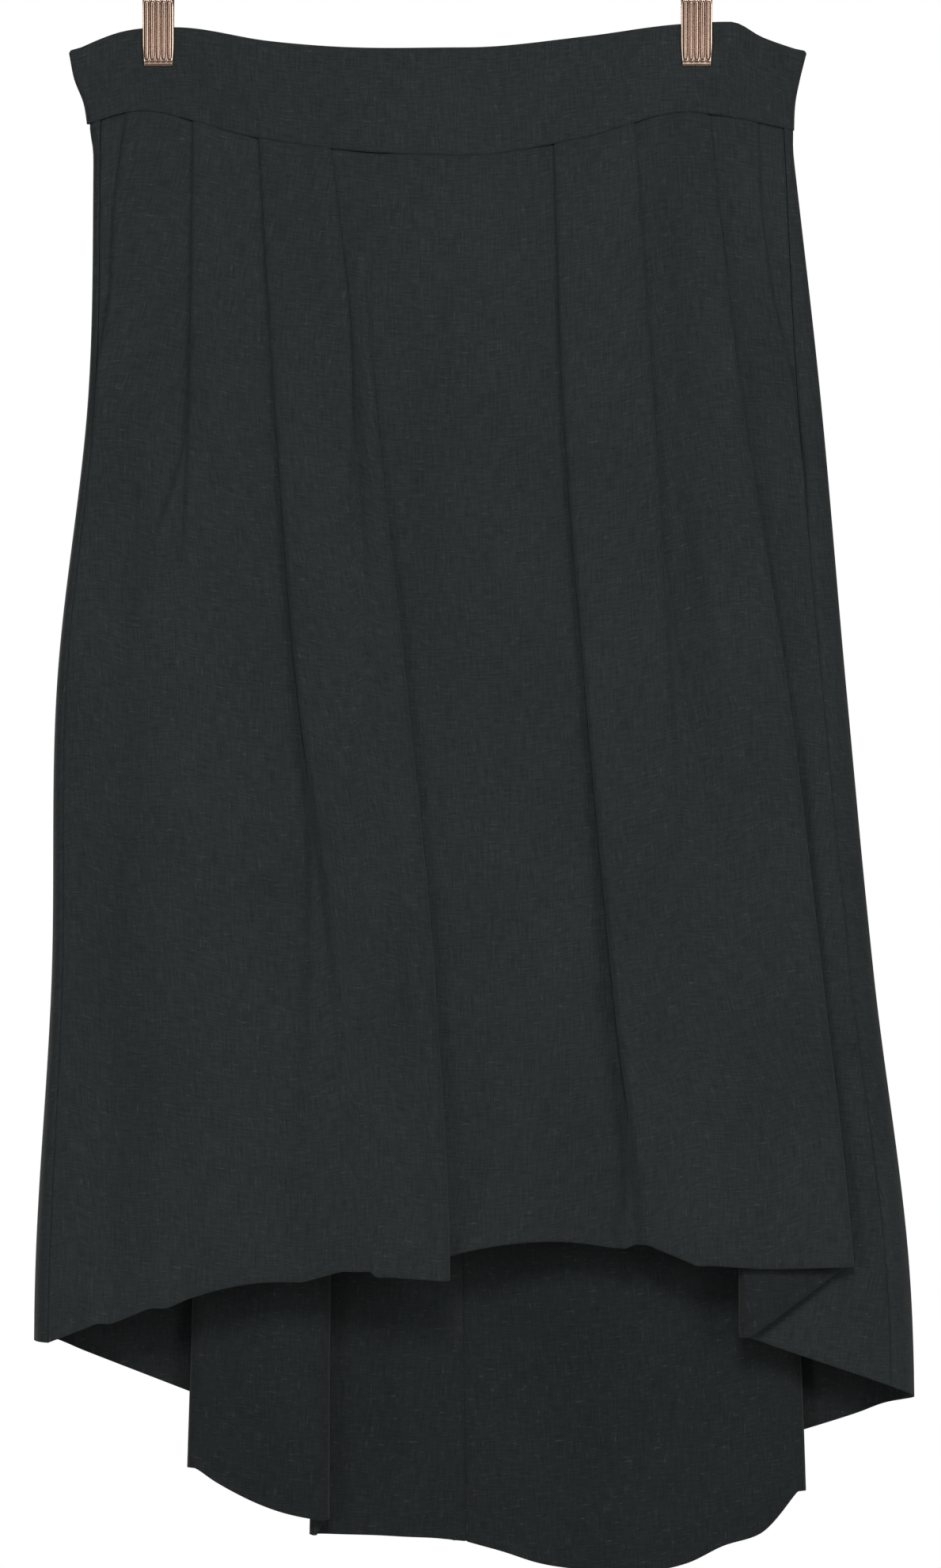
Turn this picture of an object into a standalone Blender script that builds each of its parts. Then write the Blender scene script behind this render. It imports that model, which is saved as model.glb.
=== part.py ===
"""Pleated high-low skirt of charcoal plain-weave cloth, held by its waistband on a steel clip hanger.

All sizes are in millimetres and become metres when a mesh is made. X is the wearer's left to right as
seen from the front, the front faces -Y, and the origin is the rail contact inside the hook.
Heights on the cloth are drops below the highest point of the waistband.
"""

import math
from collections import namedtuple

import bmesh
import bpy
import numpy as np
from mathutils import Euler

MM = 0.001

# Cloth and gaps
CLOTH_WALL = 1.2
BAND_WALL = 1.6
SEAM_GAP = 0.3
WAIST_GAP = 0.8
PANEL_ROWS = 15
BAND_COLUMNS = 26

# Hanger
WAIST_BELOW_RAIL = 131.0
BAR_BELOW_RAIL = 105.0
BAR_RADIUS = 2.0
BAR_LENGTH = 350.0
KNOB_RADIUS = 4.5
HOOK_WIRE_RADIUS = 1.8
HOOK_INNER_RADIUS = 17.0
HOOK_SHANK_TOP = -62.0
HOOK_LEAVES_AT = -52
HOOK_TIP_AT = 206
HOOK_STEP = 17
HOOK_NECK_PULL = 26.0
SLEEVE_WALL = 1.9
SLEEVE_LENGTH = 16.0
CLIP_CENTRE = 146.2
JAW_WIDTH = 17.0
JAW_WALL = 1.0
# Each jaw's side view, from its lower lip up: drop, and distance out from the gripped face
JAW_PROFILE = (
    (23.2, 0.0), (20.2, 0.0), (8, 0.2), (-6, 1.2), (-14, 3.2), (-24, 6.2), (-32, 8.2), (-40, 11.5)
)
JAW_FLUTES = 5
FLUTE_RISE = 0.7
FLUTED_ROWS = range(1, 5)
EAR_WALL = 0.9
EAR_HEIGHT = 7.5
EAR_INSETS = {-1: 1.0, 1: 2.4}
EAR_PAST_BAR = 3.6
PLATE_AT_BAR = 7.0
SPRING_WALL = 1.2
SPRING_LENGTH = 8.0
ROUND_SIDES = 12
CUT_OVER = 4.0

# Waistband: its top edge and its lower seam dip between the clips
BAND_X = (-195, -163, -135, -86, -43, 20, 86, 129, 161, 180, 206)
BAND_TOP_DROP = (16, 4.3, 2.1, 9.5, 12.9, 13, 6.9, 0.9, -0.9, 7.5, 16)
SEAM_X = (-187, -154, -99, -50, 20, 86, 140, 160, 200)
SEAM_DROP = (55, 47.3, 60.6, 68, 71.4, 61.5, 48, 50, 58)
BAND_SIDE_DROPS = (16, 30, 43, 60)
BAND_LEFT_X = (-194.8, -192, -188, -186.6)
BAND_RIGHT_X = (206, 202.5, 200.8, 200.4)
CLIPPED_DEPTH = 2.4
CLIPPED_DROP = 26.0
BACK_BAND_LOWER = 1.5
BAND_TURN = 3.0
BAND_TURN_STEPS = ((0, 0.15), (0, 0.55), (50, 0), (90, 0))
BAND_ROWS = (0, 0.22, 0.42, 0.62, 0.82, 1)
BAND_SIDE_SHARE = 0.02

# Skirt body at six drops, from the waist seam to the lowest hem
DROPS = (56, 200, 360, 520, 680, 842)
LEFT_OUTLINE = (-181.5, -184.5, -201.7, -204.7, -213.7, -214.0)
RIGHT_OUTLINE = (197.4, 213.7, 227.9, 243.4, 262.7, 266.0)
LEFT_TURN = (4, 4.4, 6, 7, 9, 9)
RIGHT_TURN = (4, 13, 14, 14, 14, 14)
FRONT_DEPTH = (-5.5, -8, -13, -18, -22, -23)
FRONT_CROWN = (0, 2, 4, 6, 8, 8)
BACK_DEPTH = (5.5, 9, 15, 22, 28, 32)
BACK_CROWN = (0, 2, 4, 6, 8, 9)
LAYER_PITCH = (2.0, 2.6, 3.6, 5.0, 7.0, 8.0)
CENTRE_X = 25.0
HALF_WIDTH = 225.0
CENTRE_BACK_X = (6, 8, 12, 16, 19, 21)

# Pocket mouths: the front's slanted side edges above the side seams
LEFT_MOUTH_DROPS = (56, 100, 150, 190)
LEFT_MOUTH_X = (-164.5, -170, -172.8)
RIGHT_MOUTH_DROPS = (56, 100, 150, 190, 238)
RIGHT_MOUTH_X = (179.3, 181, 187.5, 197)
FACING_TUCK = 11.0
FACING_BELOW_MOUTH = 8.0
FACING_COLUMNS = 5
FACING_ROWS = 7
LEVEL_BLEND = 50.0

# Drops of the hem at the side seams and round the sides
LEFT_SEAM_HEM = 714.7
LEFT_SIDE_HEM = 715.0
LEFT_BACK_HEM = 716.0
RIGHT_SEAM_HEM = 739.0
RIGHT_SIDE_HEM = 746.5
RIGHT_BACK_HEM = 751.0

# How each fold is drawn: seven points, and the columns between folds
UPRIGHT_X = (-1, -0.3, 0, 0, 0, 0.3, 1)
UPRIGHT_LEVELS = (0, 0.35, 0.75, 1, 1.25, 1.65, 2)
FOLDED_LEVELS = (0, 0.5, 1, 1, 1, 1.5, 2)
LEAST_TURN = 1.2
FULL_FOLD = 4.0
EDGE_FLAT = FACING_TUCK + 1.0
LEAST_ROOM = 3.0
FRONT_BETWEEN = (4, 2, 2, 1, 5, 2, 2, 4)
BACK_BETWEEN = 3
BACK_SIDE_COLUMNS = 4
BACK_LEFT_SHARES = (0.33, 0.67, 1.0)
BACK_RIGHT_SHARES = (0.0, 0.17, 0.34, 0.5, 0.64, 0.78, 0.9)
TURN_ANGLES = (-90, -65, -28, 15, 55)
TURN_GAP = 0.55
CENTRE_HEM_SHARE = 0.26

# The back hem between the two inner folds: fraction of the way across, and drop
BACK_HEM_SHARES = (0, 0.26, 0.45, 0.6, 0.72, 0.82, 0.94, 1)
BACK_HEM_DROPS = (824, 828, 841, 842.5, 841, 830, 818, 801)

Column = namedtuple("Column", "place hem")
Side = namedtuple("Side", "x level hem")

# A pleat faces right (+1) or left (-1). Its tuck is how far the cloth runs back under the edge, and a
# negative tuck is a pleat that has opened. Its step dies away over the opening width, to the flat level.
Pleat = namedtuple("Pleat", "name faces edge tuck opening flat hem_edge hem_tuck bow")
FRONT_PLEATS = (
    Pleat("hip_left", -1, (-127, -129, -135, -140, -145, -147),
          (15, 4, -30, -30, -30, -30), 30, 0, 696, 705, -4),
    Pleat("thigh_left", -1, (-91.6, -83, -70.5, -50, -42, -40),
          (15, 13, 6, -15, -30, -30), 30, 0, 676, 682, 0),
    Pleat("upper_left", 1, (-54, -41, -44, -38, -34, -34),
          (15, 2, -10, -10, -10, -10), 10, 0, 676, 679, 0),
    Pleat("centre_left", 1, (-38, -29, -11.6, 4, 12, 12),
          (-10, 2, 14, 20, 26, 26), 10, 2, 681, 676, -8),
    Pleat("centre_right", -1, (68.8, 73.5, 85.6, 100.2, 117, 120),
          (18, 18, 20, 14, -14, -22), 30, 2, 662, 664, 0),
    Pleat("thigh_right", 1, (112.2, 122, 132, 140, 150, 155),
          (18, 10, -8, -32, -35, -35), 30, 0, 673, 675, 0),
    Pleat("hip_right", 1, (153, 169.4, 194.8, 214, 231, 236),
          (16, 16, 22, 40, 62, 64), 30, 0, 674, 712.5, 0),
)
BACK_PLEATS = (
    Pleat("back_left_outer", -1, (-105, -110, -118, -123, -127.7, -133),
          (-25, -25, -10, 15, 30, 40), 25, 2, 786.5, 758, 5),
    Pleat("back_left_inner", 1, (-40, -42, -45, -49, -53, -54),
          (-12, -12, -6, 3, 8, 11), 12, 2, 815, 824, 26),
    Pleat("back_right", 1, (120, 135, 160, 185, 201, 208),
          (-25, -25, -8, 15, 32, 41), 25, 2, 799, 778, 0),
)

# Soft valleys where the cloth sinks towards the inside: centre line, depth and half width at the six drops
Valley = namedtuple("Valley", "name x depth half_width")
FRONT_VALLEYS = (
    Valley("left_side", (-166, -166, -164, -173, -173, -172), (0, 1.5, 4, 6, 8, 8), 15),
    Valley("left_middle", (-110, -110, -104, -95, -80, -78), (0, 0, 1, 4, 6, 6), 24),
    Valley("centre_hem", (60, 60, 66, 72, 72, 70), (0, 0, 0, 1, 5, 5), 20),
    Valley("right_hem", (190, 190, 185, 182, 180, 180), (0, 0, 0, 1, 3, 3), 25),
)
BACK_VALLEYS = (
    Valley("back_hip_left", (-80, -80, -78, -76, -76, -76), (0, 3, 5, 3, 4, 5), 18),
    Valley("back_middle", (-12, -12, -11, -10, -9.5, -9.5), (0, 0, 2, 4, 5, 6), 16),
    Valley("back_hip_right", (80, 84, 90, 98, 105, 108), (0, 3, 5, 6, 6, 7), 26),
    Valley("back_side_right", (150, 160, 195, 215, 228, 230), (0, 2, 4, 5, 6, 6), 16),
)

# Zip at the centre back
ZIP_PIN_Y = 5.4
ZIP_PIN_DROP = 19.0
ZIP_PIN_RADIUS = 0.5
SLIDER_WIDTH = 5.0
SLIDER_WALL = 1.4
SLIDER_LENGTH = 9.0
CHEEK_GAP = 3.4
CHEEK_WALL = 0.8
CHEEK_HEIGHT = 2.6
PULL_HOLE_RADIUS = 0.65
PULL_EYE_RADIUS = 1.35
PULL_EYE_WIDTH = 2.8
PULL_NECK_WIDTH = 2.4
PULL_NECK_END = 6.0
PULL_LENGTH = 19.0
PULL_WIDTH = 4.6
PULL_WALL = 0.8


def height(drop):
    """The Z of a drop below the waistband's highest point."""
    return -(WAIST_BELOW_RAIL + np.asarray(drop, float))


def along(places, values, at):
    """A smooth curve through values given at rising places, carried straight on past its ends."""
    places = np.asarray(places, float)
    values = np.asarray(values, float)
    at = np.asarray(at, float)
    chords = np.diff(values) / np.diff(places)
    slopes = np.concatenate([chords[:1], (chords[:-1] + chords[1:]) / 2, chords[-1:]])
    slopes[1:-1][chords[:-1] * chords[1:] <= 0] = 0.0
    part = np.clip(np.searchsorted(places, at, side="right") - 1, 0, len(places) - 2)
    width = places[part + 1] - places[part]
    t = (at - places[part]) / width
    inside = np.clip(t, 0, 1)
    start = (1 + 2 * inside) * (1 - inside) ** 2 * values[part]
    start = start + inside * (1 - inside) ** 2 * width * slopes[part]
    end = inside**2 * (3 - 2 * inside) * values[part + 1]
    end = end + inside**2 * (inside - 1) * width * slopes[part + 1]
    before = np.minimum(t, 0) * width * slopes[0]
    after = np.maximum(t - 1, 0) * width * slopes[-1]
    return start + end + before + after


def ease(t):
    """Smooth step from 0 to 1."""
    t = np.clip(t, 0, 1)
    return t * t * (3 - 2 * t)


def waist_seam(x):
    return along(SEAM_X, SEAM_DROP, x)


def valleys(table, x, drop):
    """How far the soft valleys push the cloth inwards."""
    total = np.zeros_like(np.asarray(drop, float))
    for valley in table:
        away = (x - along(DROPS, valley.x, drop)) / valley.half_width
        total = total + along(DROPS, valley.depth, drop) * np.exp(-(away**2))
    return total


def front_y(x, drop, level):
    """Depth of the front's mid surface at a fold level: 0 is nearest the viewer and 2 the deepest."""
    across = np.clip(1 - ((x - CENTRE_X) / HALF_WIDTH) ** 2, 0, 1)
    base = along(DROPS, FRONT_DEPTH, drop) - along(DROPS, FRONT_CROWN, drop) * across
    return base + along(DROPS, LAYER_PITCH, drop) * level + valleys(FRONT_VALLEYS, x, drop)


def back_y(x, drop, level):
    """Depth of the back's mid surface: level 2 is the outer face and 0 the innermost fold."""
    across = np.clip(1 - ((x - CENTRE_X) / HALF_WIDTH) ** 2, 0, 1)
    base = along(DROPS, BACK_DEPTH, drop) + along(DROPS, BACK_CROWN, drop) * across
    return base - along(DROPS, LAYER_PITCH, drop) * (2 - level) - valleys(BACK_VALLEYS, x, drop)


def lift(pleat, drop):
    """1 where a pleat is folded, falling to 0 as it opens."""
    return ease(1 + np.minimum(along(DROPS, pleat.tuck, drop), 0) / pleat.opening)


def fold_points(pleat, drop):
    """X and level of a fold's seven points, from left to right along the cloth.

    Folded, they make an S of three layers. As the tuck shrinks the S stands upright, and then lies open.
    """
    edge = along(DROPS, pleat.edge, drop)
    tuck = along(DROPS, pleat.tuck, drop)
    turn = np.maximum(along(DROPS, LAYER_PITCH, drop) / 2, LEAST_TURN)
    full = 2 * turn + FULL_FOLD
    size = np.maximum(np.abs(tuck), full)
    none = 0 * size
    folded = np.array([-turn, none, -turn, -size / 2, turn - size, -size, turn - size])
    opened = np.array([-turn, none, turn, size / 2, size - turn, size, size + turn])
    upright = np.array([turn * share for share in UPRIGHT_X])
    share = np.clip(np.abs(tuck) / full, 0, 1)
    x = upright + (np.where(tuck > 0, folded, opened) - upright) * share
    lying = np.array([none + level for level in FOLDED_LEVELS])
    standing = np.array([none + level for level in UPRIGHT_LEVELS])
    level = standing + (lying - standing) * share
    level = pleat.flat + (level - pleat.flat) * lift(pleat, drop)
    if pleat.faces < 0:
        return edge - x[::-1], level[::-1]
    return edge + x, level


def fold_column(pleat, index, surface_y):
    """One of the seven columns of a fold."""

    def place(drop):
        x, level = fold_points(pleat, drop)
        return x[index], surface_y(x[index], drop, level[index])

    return place


def stretch_column(previous, following, sides, surface_y, share):
    """A column of the cloth between two folds. share gives its fraction of the way between them."""

    def place(drop):
        if previous is None:
            start = sides[0].x(drop)
            level_start, free_start = sides[0].level(drop), start + EDGE_FLAT
        else:
            x, level = fold_points(previous, drop)
            start, level_start, free_start = x[-1], level[-1], x.max(axis=0)
        if following is None:
            end = sides[1].x(drop)
            level_end, free_end = sides[1].level(drop), end - EDGE_FLAT
        else:
            x, level = fold_points(following, drop)
            end, level_end, free_end = x[0], level[0], x.min(axis=0)
        x = start + (end - start) * share(drop, start, end)
        room = np.maximum(free_end - free_start, LEAST_ROOM)
        level = level_start + (level_end - level_start) * ease((x - free_start) / room)
        return x, surface_y(x, drop, level)

    return place


def fixed_share(fraction):
    return lambda drop, start, end: fraction


def stretch_hem(previous, following, sides, fraction):
    """Drop of the hem at a fraction of the way between two folds."""
    if previous is None:
        start, bow = sides[0].hem, 0.0
    else:
        start = previous.hem_tuck if previous.faces > 0 else previous.hem_edge
        bow = previous.bow
    if following is None:
        end = sides[1].hem
    else:
        end = following.hem_edge if following.faces > 0 else following.hem_tuck
    return start + (end - start) * fraction + bow * 4 * fraction * (1 - fraction)


def fold_columns(pleat, surface_y):
    """The seven columns of a fold, each with its hem."""
    first, last = pleat.hem_edge, pleat.hem_tuck
    if pleat.faces < 0:
        first, last = last, first
    hems = (first, first, first, (first + last) / 2, last, last, last)
    return [Column(fold_column(pleat, index, surface_y), hem) for index, hem in enumerate(hems)]


def stretch_columns(previous, following, sides, surface_y, count):
    """Evenly spaced columns between two folds. At a panel's side edge the edge itself is one of them."""
    first = 0 if previous is None else 1
    divisions = count if following is None else count + 1
    columns = []
    for step in range(first, count + 1):
        fraction = step / divisions
        place = stretch_column(previous, following, sides, surface_y, fixed_share(fraction))
        columns.append(Column(place, stretch_hem(previous, following, sides, fraction)))
    return columns


def cloth_material(name, colour):
    material = bpy.data.materials.new(name)
    material.use_nodes = True
    shader = material.node_tree.nodes["Principled BSDF"]
    shader.inputs["Base Color"].default_value = (*colour, 1)
    shader.inputs["Roughness"].default_value = 0.9
    return material


def metal_material(name, colour, roughness):
    material = cloth_material(name, colour)
    shader = material.node_tree.nodes["Principled BSDF"]
    shader.inputs["Metallic"].default_value = 1.0
    shader.inputs["Roughness"].default_value = roughness
    return material


def new_collection(name):
    collection = bpy.data.collections.new(name)
    bpy.context.scene.collection.children.link(collection)
    return collection


def add_object(name, mesh, material, collection):
    thing = bpy.data.objects.new(name, mesh)
    collection.objects.link(thing)
    mesh.materials.append(material)
    return thing


def sheet(name, columns, material, collection, wall):
    """An open sheet through columns of points, listed left to right and top to bottom, with a wall."""
    rows = len(columns[0])
    points = [tuple(np.asarray(point, float) * MM) for column in columns for point in column]
    faces = []
    for i in range(len(columns) - 1):
        for j in range(rows - 1):
            a = i * rows + j
            b = a + rows
            faces.append((a, a + 1, b + 1, b))
    mesh = bpy.data.meshes.new(name)
    mesh.from_pydata(points, [], faces)
    mesh.update()
    thing = add_object(name, mesh, material, collection)
    thick = thing.modifiers.new("wall", "SOLIDIFY")
    thick.thickness = wall * MM
    thick.offset = 0.0
    thick.use_even_offset = False
    mesh.shade_smooth()
    return thing


def hung_column(place, hem, rows=PANEL_ROWS):
    """Points down one column of a panel, from the waist seam to its hem."""
    x_top, _ = place(np.array(DROPS[0], float))
    start = waist_seam(x_top) + WAIST_GAP
    drops = start + (hem - start) * np.linspace(0, 1, rows)
    x, y = place(drops)
    return list(zip(x, y, height(drops)))


def left_seam(drop):
    return along(DROPS, LEFT_OUTLINE, drop) + along(DROPS, LEFT_TURN, drop)


def right_seam(drop):
    return along(DROPS, RIGHT_OUTLINE, drop) - along(DROPS, RIGHT_TURN, drop)


def pocket_edge(mouth_drops, mouth_x, seam):
    """The front's side edge: the slanted pocket mouth, then the side seam."""

    def x(drop):
        mouth = along(mouth_drops, (*mouth_x, seam(mouth_drops[-1])), drop)
        return np.where(np.asarray(drop) < mouth_drops[-1], mouth, seam(drop))

    return x


def edge_level(mouth_end):
    """The front lies over the facing at its pocket mouth, and meets the back level below it."""
    return lambda drop: ease((np.asarray(drop, float) - mouth_end) / LEVEL_BLEND)


LEFT_EDGE = pocket_edge(LEFT_MOUTH_DROPS, LEFT_MOUTH_X, left_seam)
RIGHT_EDGE = pocket_edge(RIGHT_MOUTH_DROPS, RIGHT_MOUTH_X, right_seam)


def make_front(material, collection):
    sides = (
        Side(LEFT_EDGE, edge_level(LEFT_MOUTH_DROPS[-1]), LEFT_SEAM_HEM),
        Side(RIGHT_EDGE, edge_level(RIGHT_MOUTH_DROPS[-1]), RIGHT_SEAM_HEM),
    )
    neighbours = (None, *FRONT_PLEATS, None)
    columns = []
    for previous, following, count in zip(neighbours, neighbours[1:], FRONT_BETWEEN):
        columns += stretch_columns(previous, following, sides, front_y, count)
        if following is not None:
            columns += fold_columns(following, front_y)
    points = [hung_column(*column) for column in columns]
    return sheet("front_panel", points, material, collection, CLOTH_WALL)


def make_facing(name, side, edge, seam, mouth_end, material, collection):
    """The hip piece seen behind a pocket mouth. It reaches a little way under the front."""
    columns = []
    for fraction in np.linspace(0, 1, FACING_COLUMNS):

        def place(drop, fraction=fraction):
            hidden = edge(drop) - side * FACING_TUCK
            x = hidden + (seam(drop) - side * SEAM_GAP - hidden) * fraction
            return x, front_y(x, drop, 1.0)

        columns.append(hung_column(place, mouth_end + FACING_BELOW_MOUTH, FACING_ROWS))
    return sheet(name, columns if side > 0 else columns[::-1], material, collection, CLOTH_WALL)


def side_turn(side, seam, turn, angle):
    """A column of a back panel where it wraps round the side, from the front's seam to the back."""

    def place(drop):
        middle = seam(drop)
        near = front_y(middle, drop, 1.0)
        far = back_y(middle, drop, 2.0)
        reach = along(DROPS, turn, drop) - CLOTH_WALL / 2
        x = middle + side * np.maximum(reach * math.cos(angle), TURN_GAP)
        return x, (near + far) / 2 + (far - near) / 2 * math.sin(angle)

    return place


def turn_columns(side, seam, turn, hems):
    """The wrap round one side. hems are the drops at its front seam, its outermost line and its back."""
    columns = []
    for degrees in TURN_ANGLES:
        angle = math.radians(degrees)
        hem = np.interp(degrees, (-90, 0, 90), hems)
        columns.append(Column(side_turn(side, seam, turn, angle), hem))
    return columns


def centre_share(side, fraction):
    """Fraction of the way along the widest stretch of the back, on one side of the centre-back seam."""

    def share(drop, start, end):
        seam = (along(DROPS, CENTRE_BACK_X, drop) + side * SEAM_GAP / 2 - start) / (end - start)
        return seam * fraction if side < 0 else seam + (1 - seam) * fraction

    return share


def make_backs(material, collection):
    """The two back panels, parted at the centre-back seam in the stretch between the inner folds."""
    sides = (
        Side(left_seam, lambda drop: 2.0 + 0 * drop, LEFT_BACK_HEM),
        Side(right_seam, lambda drop: 2.0 + 0 * drop, RIGHT_BACK_HEM),
    )
    outer, inner, right = BACK_PLEATS
    left_part = turn_columns(-1, left_seam, LEFT_TURN, (LEFT_SEAM_HEM, LEFT_SIDE_HEM, LEFT_BACK_HEM))
    left_part += stretch_columns(None, outer, sides, back_y, BACK_SIDE_COLUMNS)
    left_part += fold_columns(outer, back_y)
    left_part += stretch_columns(outer, inner, sides, back_y, BACK_BETWEEN)
    left_part += fold_columns(inner, back_y)
    right_part = []
    for side, part, fractions in ((-1, left_part, BACK_LEFT_SHARES), (1, right_part, BACK_RIGHT_SHARES)):
        for fraction in fractions:
            place = stretch_column(inner, right, sides, back_y, centre_share(side, fraction))
            along_hem = CENTRE_HEM_SHARE * fraction
            if side > 0:
                along_hem = CENTRE_HEM_SHARE + (1 - CENTRE_HEM_SHARE) * fraction
            part.append(Column(place, float(along(BACK_HEM_SHARES, BACK_HEM_DROPS, along_hem))))
    right_part += fold_columns(right, back_y)
    right_part += stretch_columns(right, None, sides, back_y, BACK_SIDE_COLUMNS)
    right_hems = (RIGHT_SEAM_HEM, RIGHT_SIDE_HEM, RIGHT_BACK_HEM)
    right_part += turn_columns(1, right_seam, RIGHT_TURN, right_hems)[::-1]
    for name, part in (("back_panel_left", left_part), ("back_panel_right", right_part)):
        points = [hung_column(*column) for column in part]
        sheet(name, points[::-1], material, collection, CLOTH_WALL)


def band_depth(drop, x):
    """Half the depth between the two waistbands: gripped at the clips, and open to the seam below."""
    seam = waist_seam(x)
    t = ease((drop - CLIPPED_DROP) / (seam - CLIPPED_DROP))
    return CLIPPED_DEPTH / 2 + (BACK_DEPTH[0] - CLIPPED_DEPTH / 2) * t


def band_column(t, front, angle=None, least=0.0):
    """Points down one column of a waistband, at the fraction t from its left edge to its right."""
    side = -1 if t < 0.5 else 1
    inset = 0.0
    if angle is not None:
        inset = BAND_WALL / 2 + BAND_TURN * (1 - math.cos(angle))
    top_x = BAND_LEFT_X[0] + (BAND_RIGHT_X[0] - BAND_LEFT_X[0]) * t - side * inset
    bottom_x = BAND_LEFT_X[-1] + (BAND_RIGHT_X[-1] - BAND_LEFT_X[-1]) * t - side * inset
    top = along(BAND_X, BAND_TOP_DROP, top_x) + (0 if front else BACK_BAND_LOWER)
    bottom = waist_seam(bottom_x)
    drops = top + (bottom - top) * np.array(BAND_ROWS)
    left = along(BAND_SIDE_DROPS, BAND_LEFT_X, drops)
    right = along(BAND_SIDE_DROPS, BAND_RIGHT_X, drops)
    x = left + (right - left) * t
    half = band_depth(drops, x)
    sign = -1 if front else 1
    if angle is None:
        return list(zip(x, sign * half, height(drops)))
    turn = np.minimum(half, BAND_TURN)
    edge = x - side * (BAND_WALL / 2 + turn * (1 - math.cos(angle)))
    depth = np.maximum(half * math.sin(angle), least)
    return list(zip(edge, sign * depth, height(drops)))


def band_columns(front, start, end):
    """Columns between two fractions of the band's width, with a quarter turn at each side seam."""
    inner = [start + (end - start) * i / BAND_COLUMNS for i in range(BAND_COLUMNS + 1)]
    inner = [t for t in inner if BAND_SIDE_SHARE < t < 1 - BAND_SIDE_SHARE]
    columns = [band_column(t, front) for t in inner]
    quarter = [(math.radians(degrees), least) for degrees, least in BAND_TURN_STEPS]
    if start == 0:
        columns = [band_column(0.0, front, *step) for step in quarter] + columns
    if end == 1:
        columns = columns + [band_column(1.0, front, *step) for step in quarter[::-1]]
    return columns


def make_bands(material, collection):
    width = BAND_RIGHT_X[0] - BAND_LEFT_X[0]
    middle = (CENTRE_BACK_X[0] - BAND_LEFT_X[0]) / width
    gap = SEAM_GAP / 2 / width
    sheet("waistband_front", band_columns(True, 0, 1), material, collection, BAND_WALL)
    left = band_columns(False, 0, middle - gap)
    right = band_columns(False, middle + gap, 1)
    sheet("waistband_back_left", left[::-1], material, collection, BAND_WALL)
    sheet("waistband_back_right", right[::-1], material, collection, BAND_WALL)


def cylinder(radius, length, sides, axis):
    """A closed cylinder mesh about the origin, along X, Y or Z."""
    form = bmesh.new()
    bmesh.ops.create_cone(
        form, cap_ends=True, segments=sides, radius1=radius * MM, radius2=radius * MM, depth=length * MM
    )
    turn = {"X": (0, math.pi / 2, 0), "Y": (math.pi / 2, 0, 0), "Z": (0, 0, 0)}[axis]
    mesh = bpy.data.meshes.new("cylinder")
    form.to_mesh(mesh)
    form.free()
    mesh.transform(Euler(turn).to_matrix().to_4x4())
    return mesh


def box(size):
    form = bmesh.new()
    bmesh.ops.create_cube(form, size=1)
    for vertex in form.verts:
        vertex.co = [c * s * MM for c, s in zip(vertex.co, size)]
    mesh = bpy.data.meshes.new("box")
    form.to_mesh(mesh)
    form.free()
    return mesh


def cut_or_join(thing, other, operation):
    step = thing.modifiers.new(other.name, "BOOLEAN")
    step.operation = operation
    step.object = other
    step.solver = "EXACT"


def helper(name, mesh, cutters, place):
    thing = bpy.data.objects.new(name, mesh)
    thing.location = [c * MM for c in place]
    thing.hide_render = True
    thing.display_type = "WIRE"
    cutters.objects.link(thing)
    return thing


def make_bar(material, collection):
    """Round bar with a knob at each end, turned about X."""
    half = BAR_LENGTH / 2
    knob = KNOB_RADIUS
    outline = [(-half - knob, 0.0)]
    for degrees in (45, 90, 135):
        a = math.radians(degrees)
        outline.append((-half - knob * math.cos(a), knob * math.sin(a)))
    outline.append((-half + knob, BAR_RADIUS))
    outline += [(-x, r) for x, r in outline[::-1]]
    mesh = bpy.data.meshes.new("hanger_bar")
    points = [(x * MM, 0, r * MM) for x, r in outline]
    mesh.from_pydata(points, [(i, i + 1) for i in range(len(outline) - 1)], [])
    bar = add_object("hanger_bar", mesh, material, collection)
    turned = bar.modifiers.new("turned", "SCREW")
    turned.axis = "X"
    turned.steps = turned.render_steps = 12
    turned.use_merge_vertices = True
    turned.merge_threshold = 0.00001
    turned.use_normal_flip = True
    bar.location = (0, 0, -BAR_BELOW_RAIL * MM)
    return bar


def hook_route():
    """Centre line of the hook wire, from the sleeve on the bar to the hook's tip."""
    radius = HOOK_INNER_RADIUS + HOOK_WIRE_RADIUS
    middle = -HOOK_INNER_RADIUS
    bottom = -BAR_BELOW_RAIL + BAR_RADIUS + SEAM_GAP + SLEEVE_WALL / 2
    route = [(0.0, bottom), (0.0, (HOOK_SHANK_TOP - BAR_BELOW_RAIL) / 2), (0.0, HOOK_SHANK_TOP)]
    leave = math.radians(HOOK_LEAVES_AT)
    start = np.array([0.0, HOOK_SHANK_TOP])
    end = np.array([radius * math.cos(leave), middle + radius * math.sin(leave)])
    pull_start = np.array([0.0, HOOK_NECK_PULL])
    pull_end = np.array([-math.sin(leave), math.cos(leave)]) * HOOK_NECK_PULL
    for t in (0.25, 0.5, 0.75):
        point = (1 + 2 * t) * (1 - t) ** 2 * start + t * (1 - t) ** 2 * pull_start
        point = point + t * t * (3 - 2 * t) * end + t * t * (t - 1) * pull_end
        route.append(tuple(point))
    for degrees in range(HOOK_LEAVES_AT, HOOK_TIP_AT, HOOK_STEP):
        a = math.radians(degrees)
        route.append((radius * math.cos(a), middle + radius * math.sin(a)))
    return route


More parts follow.
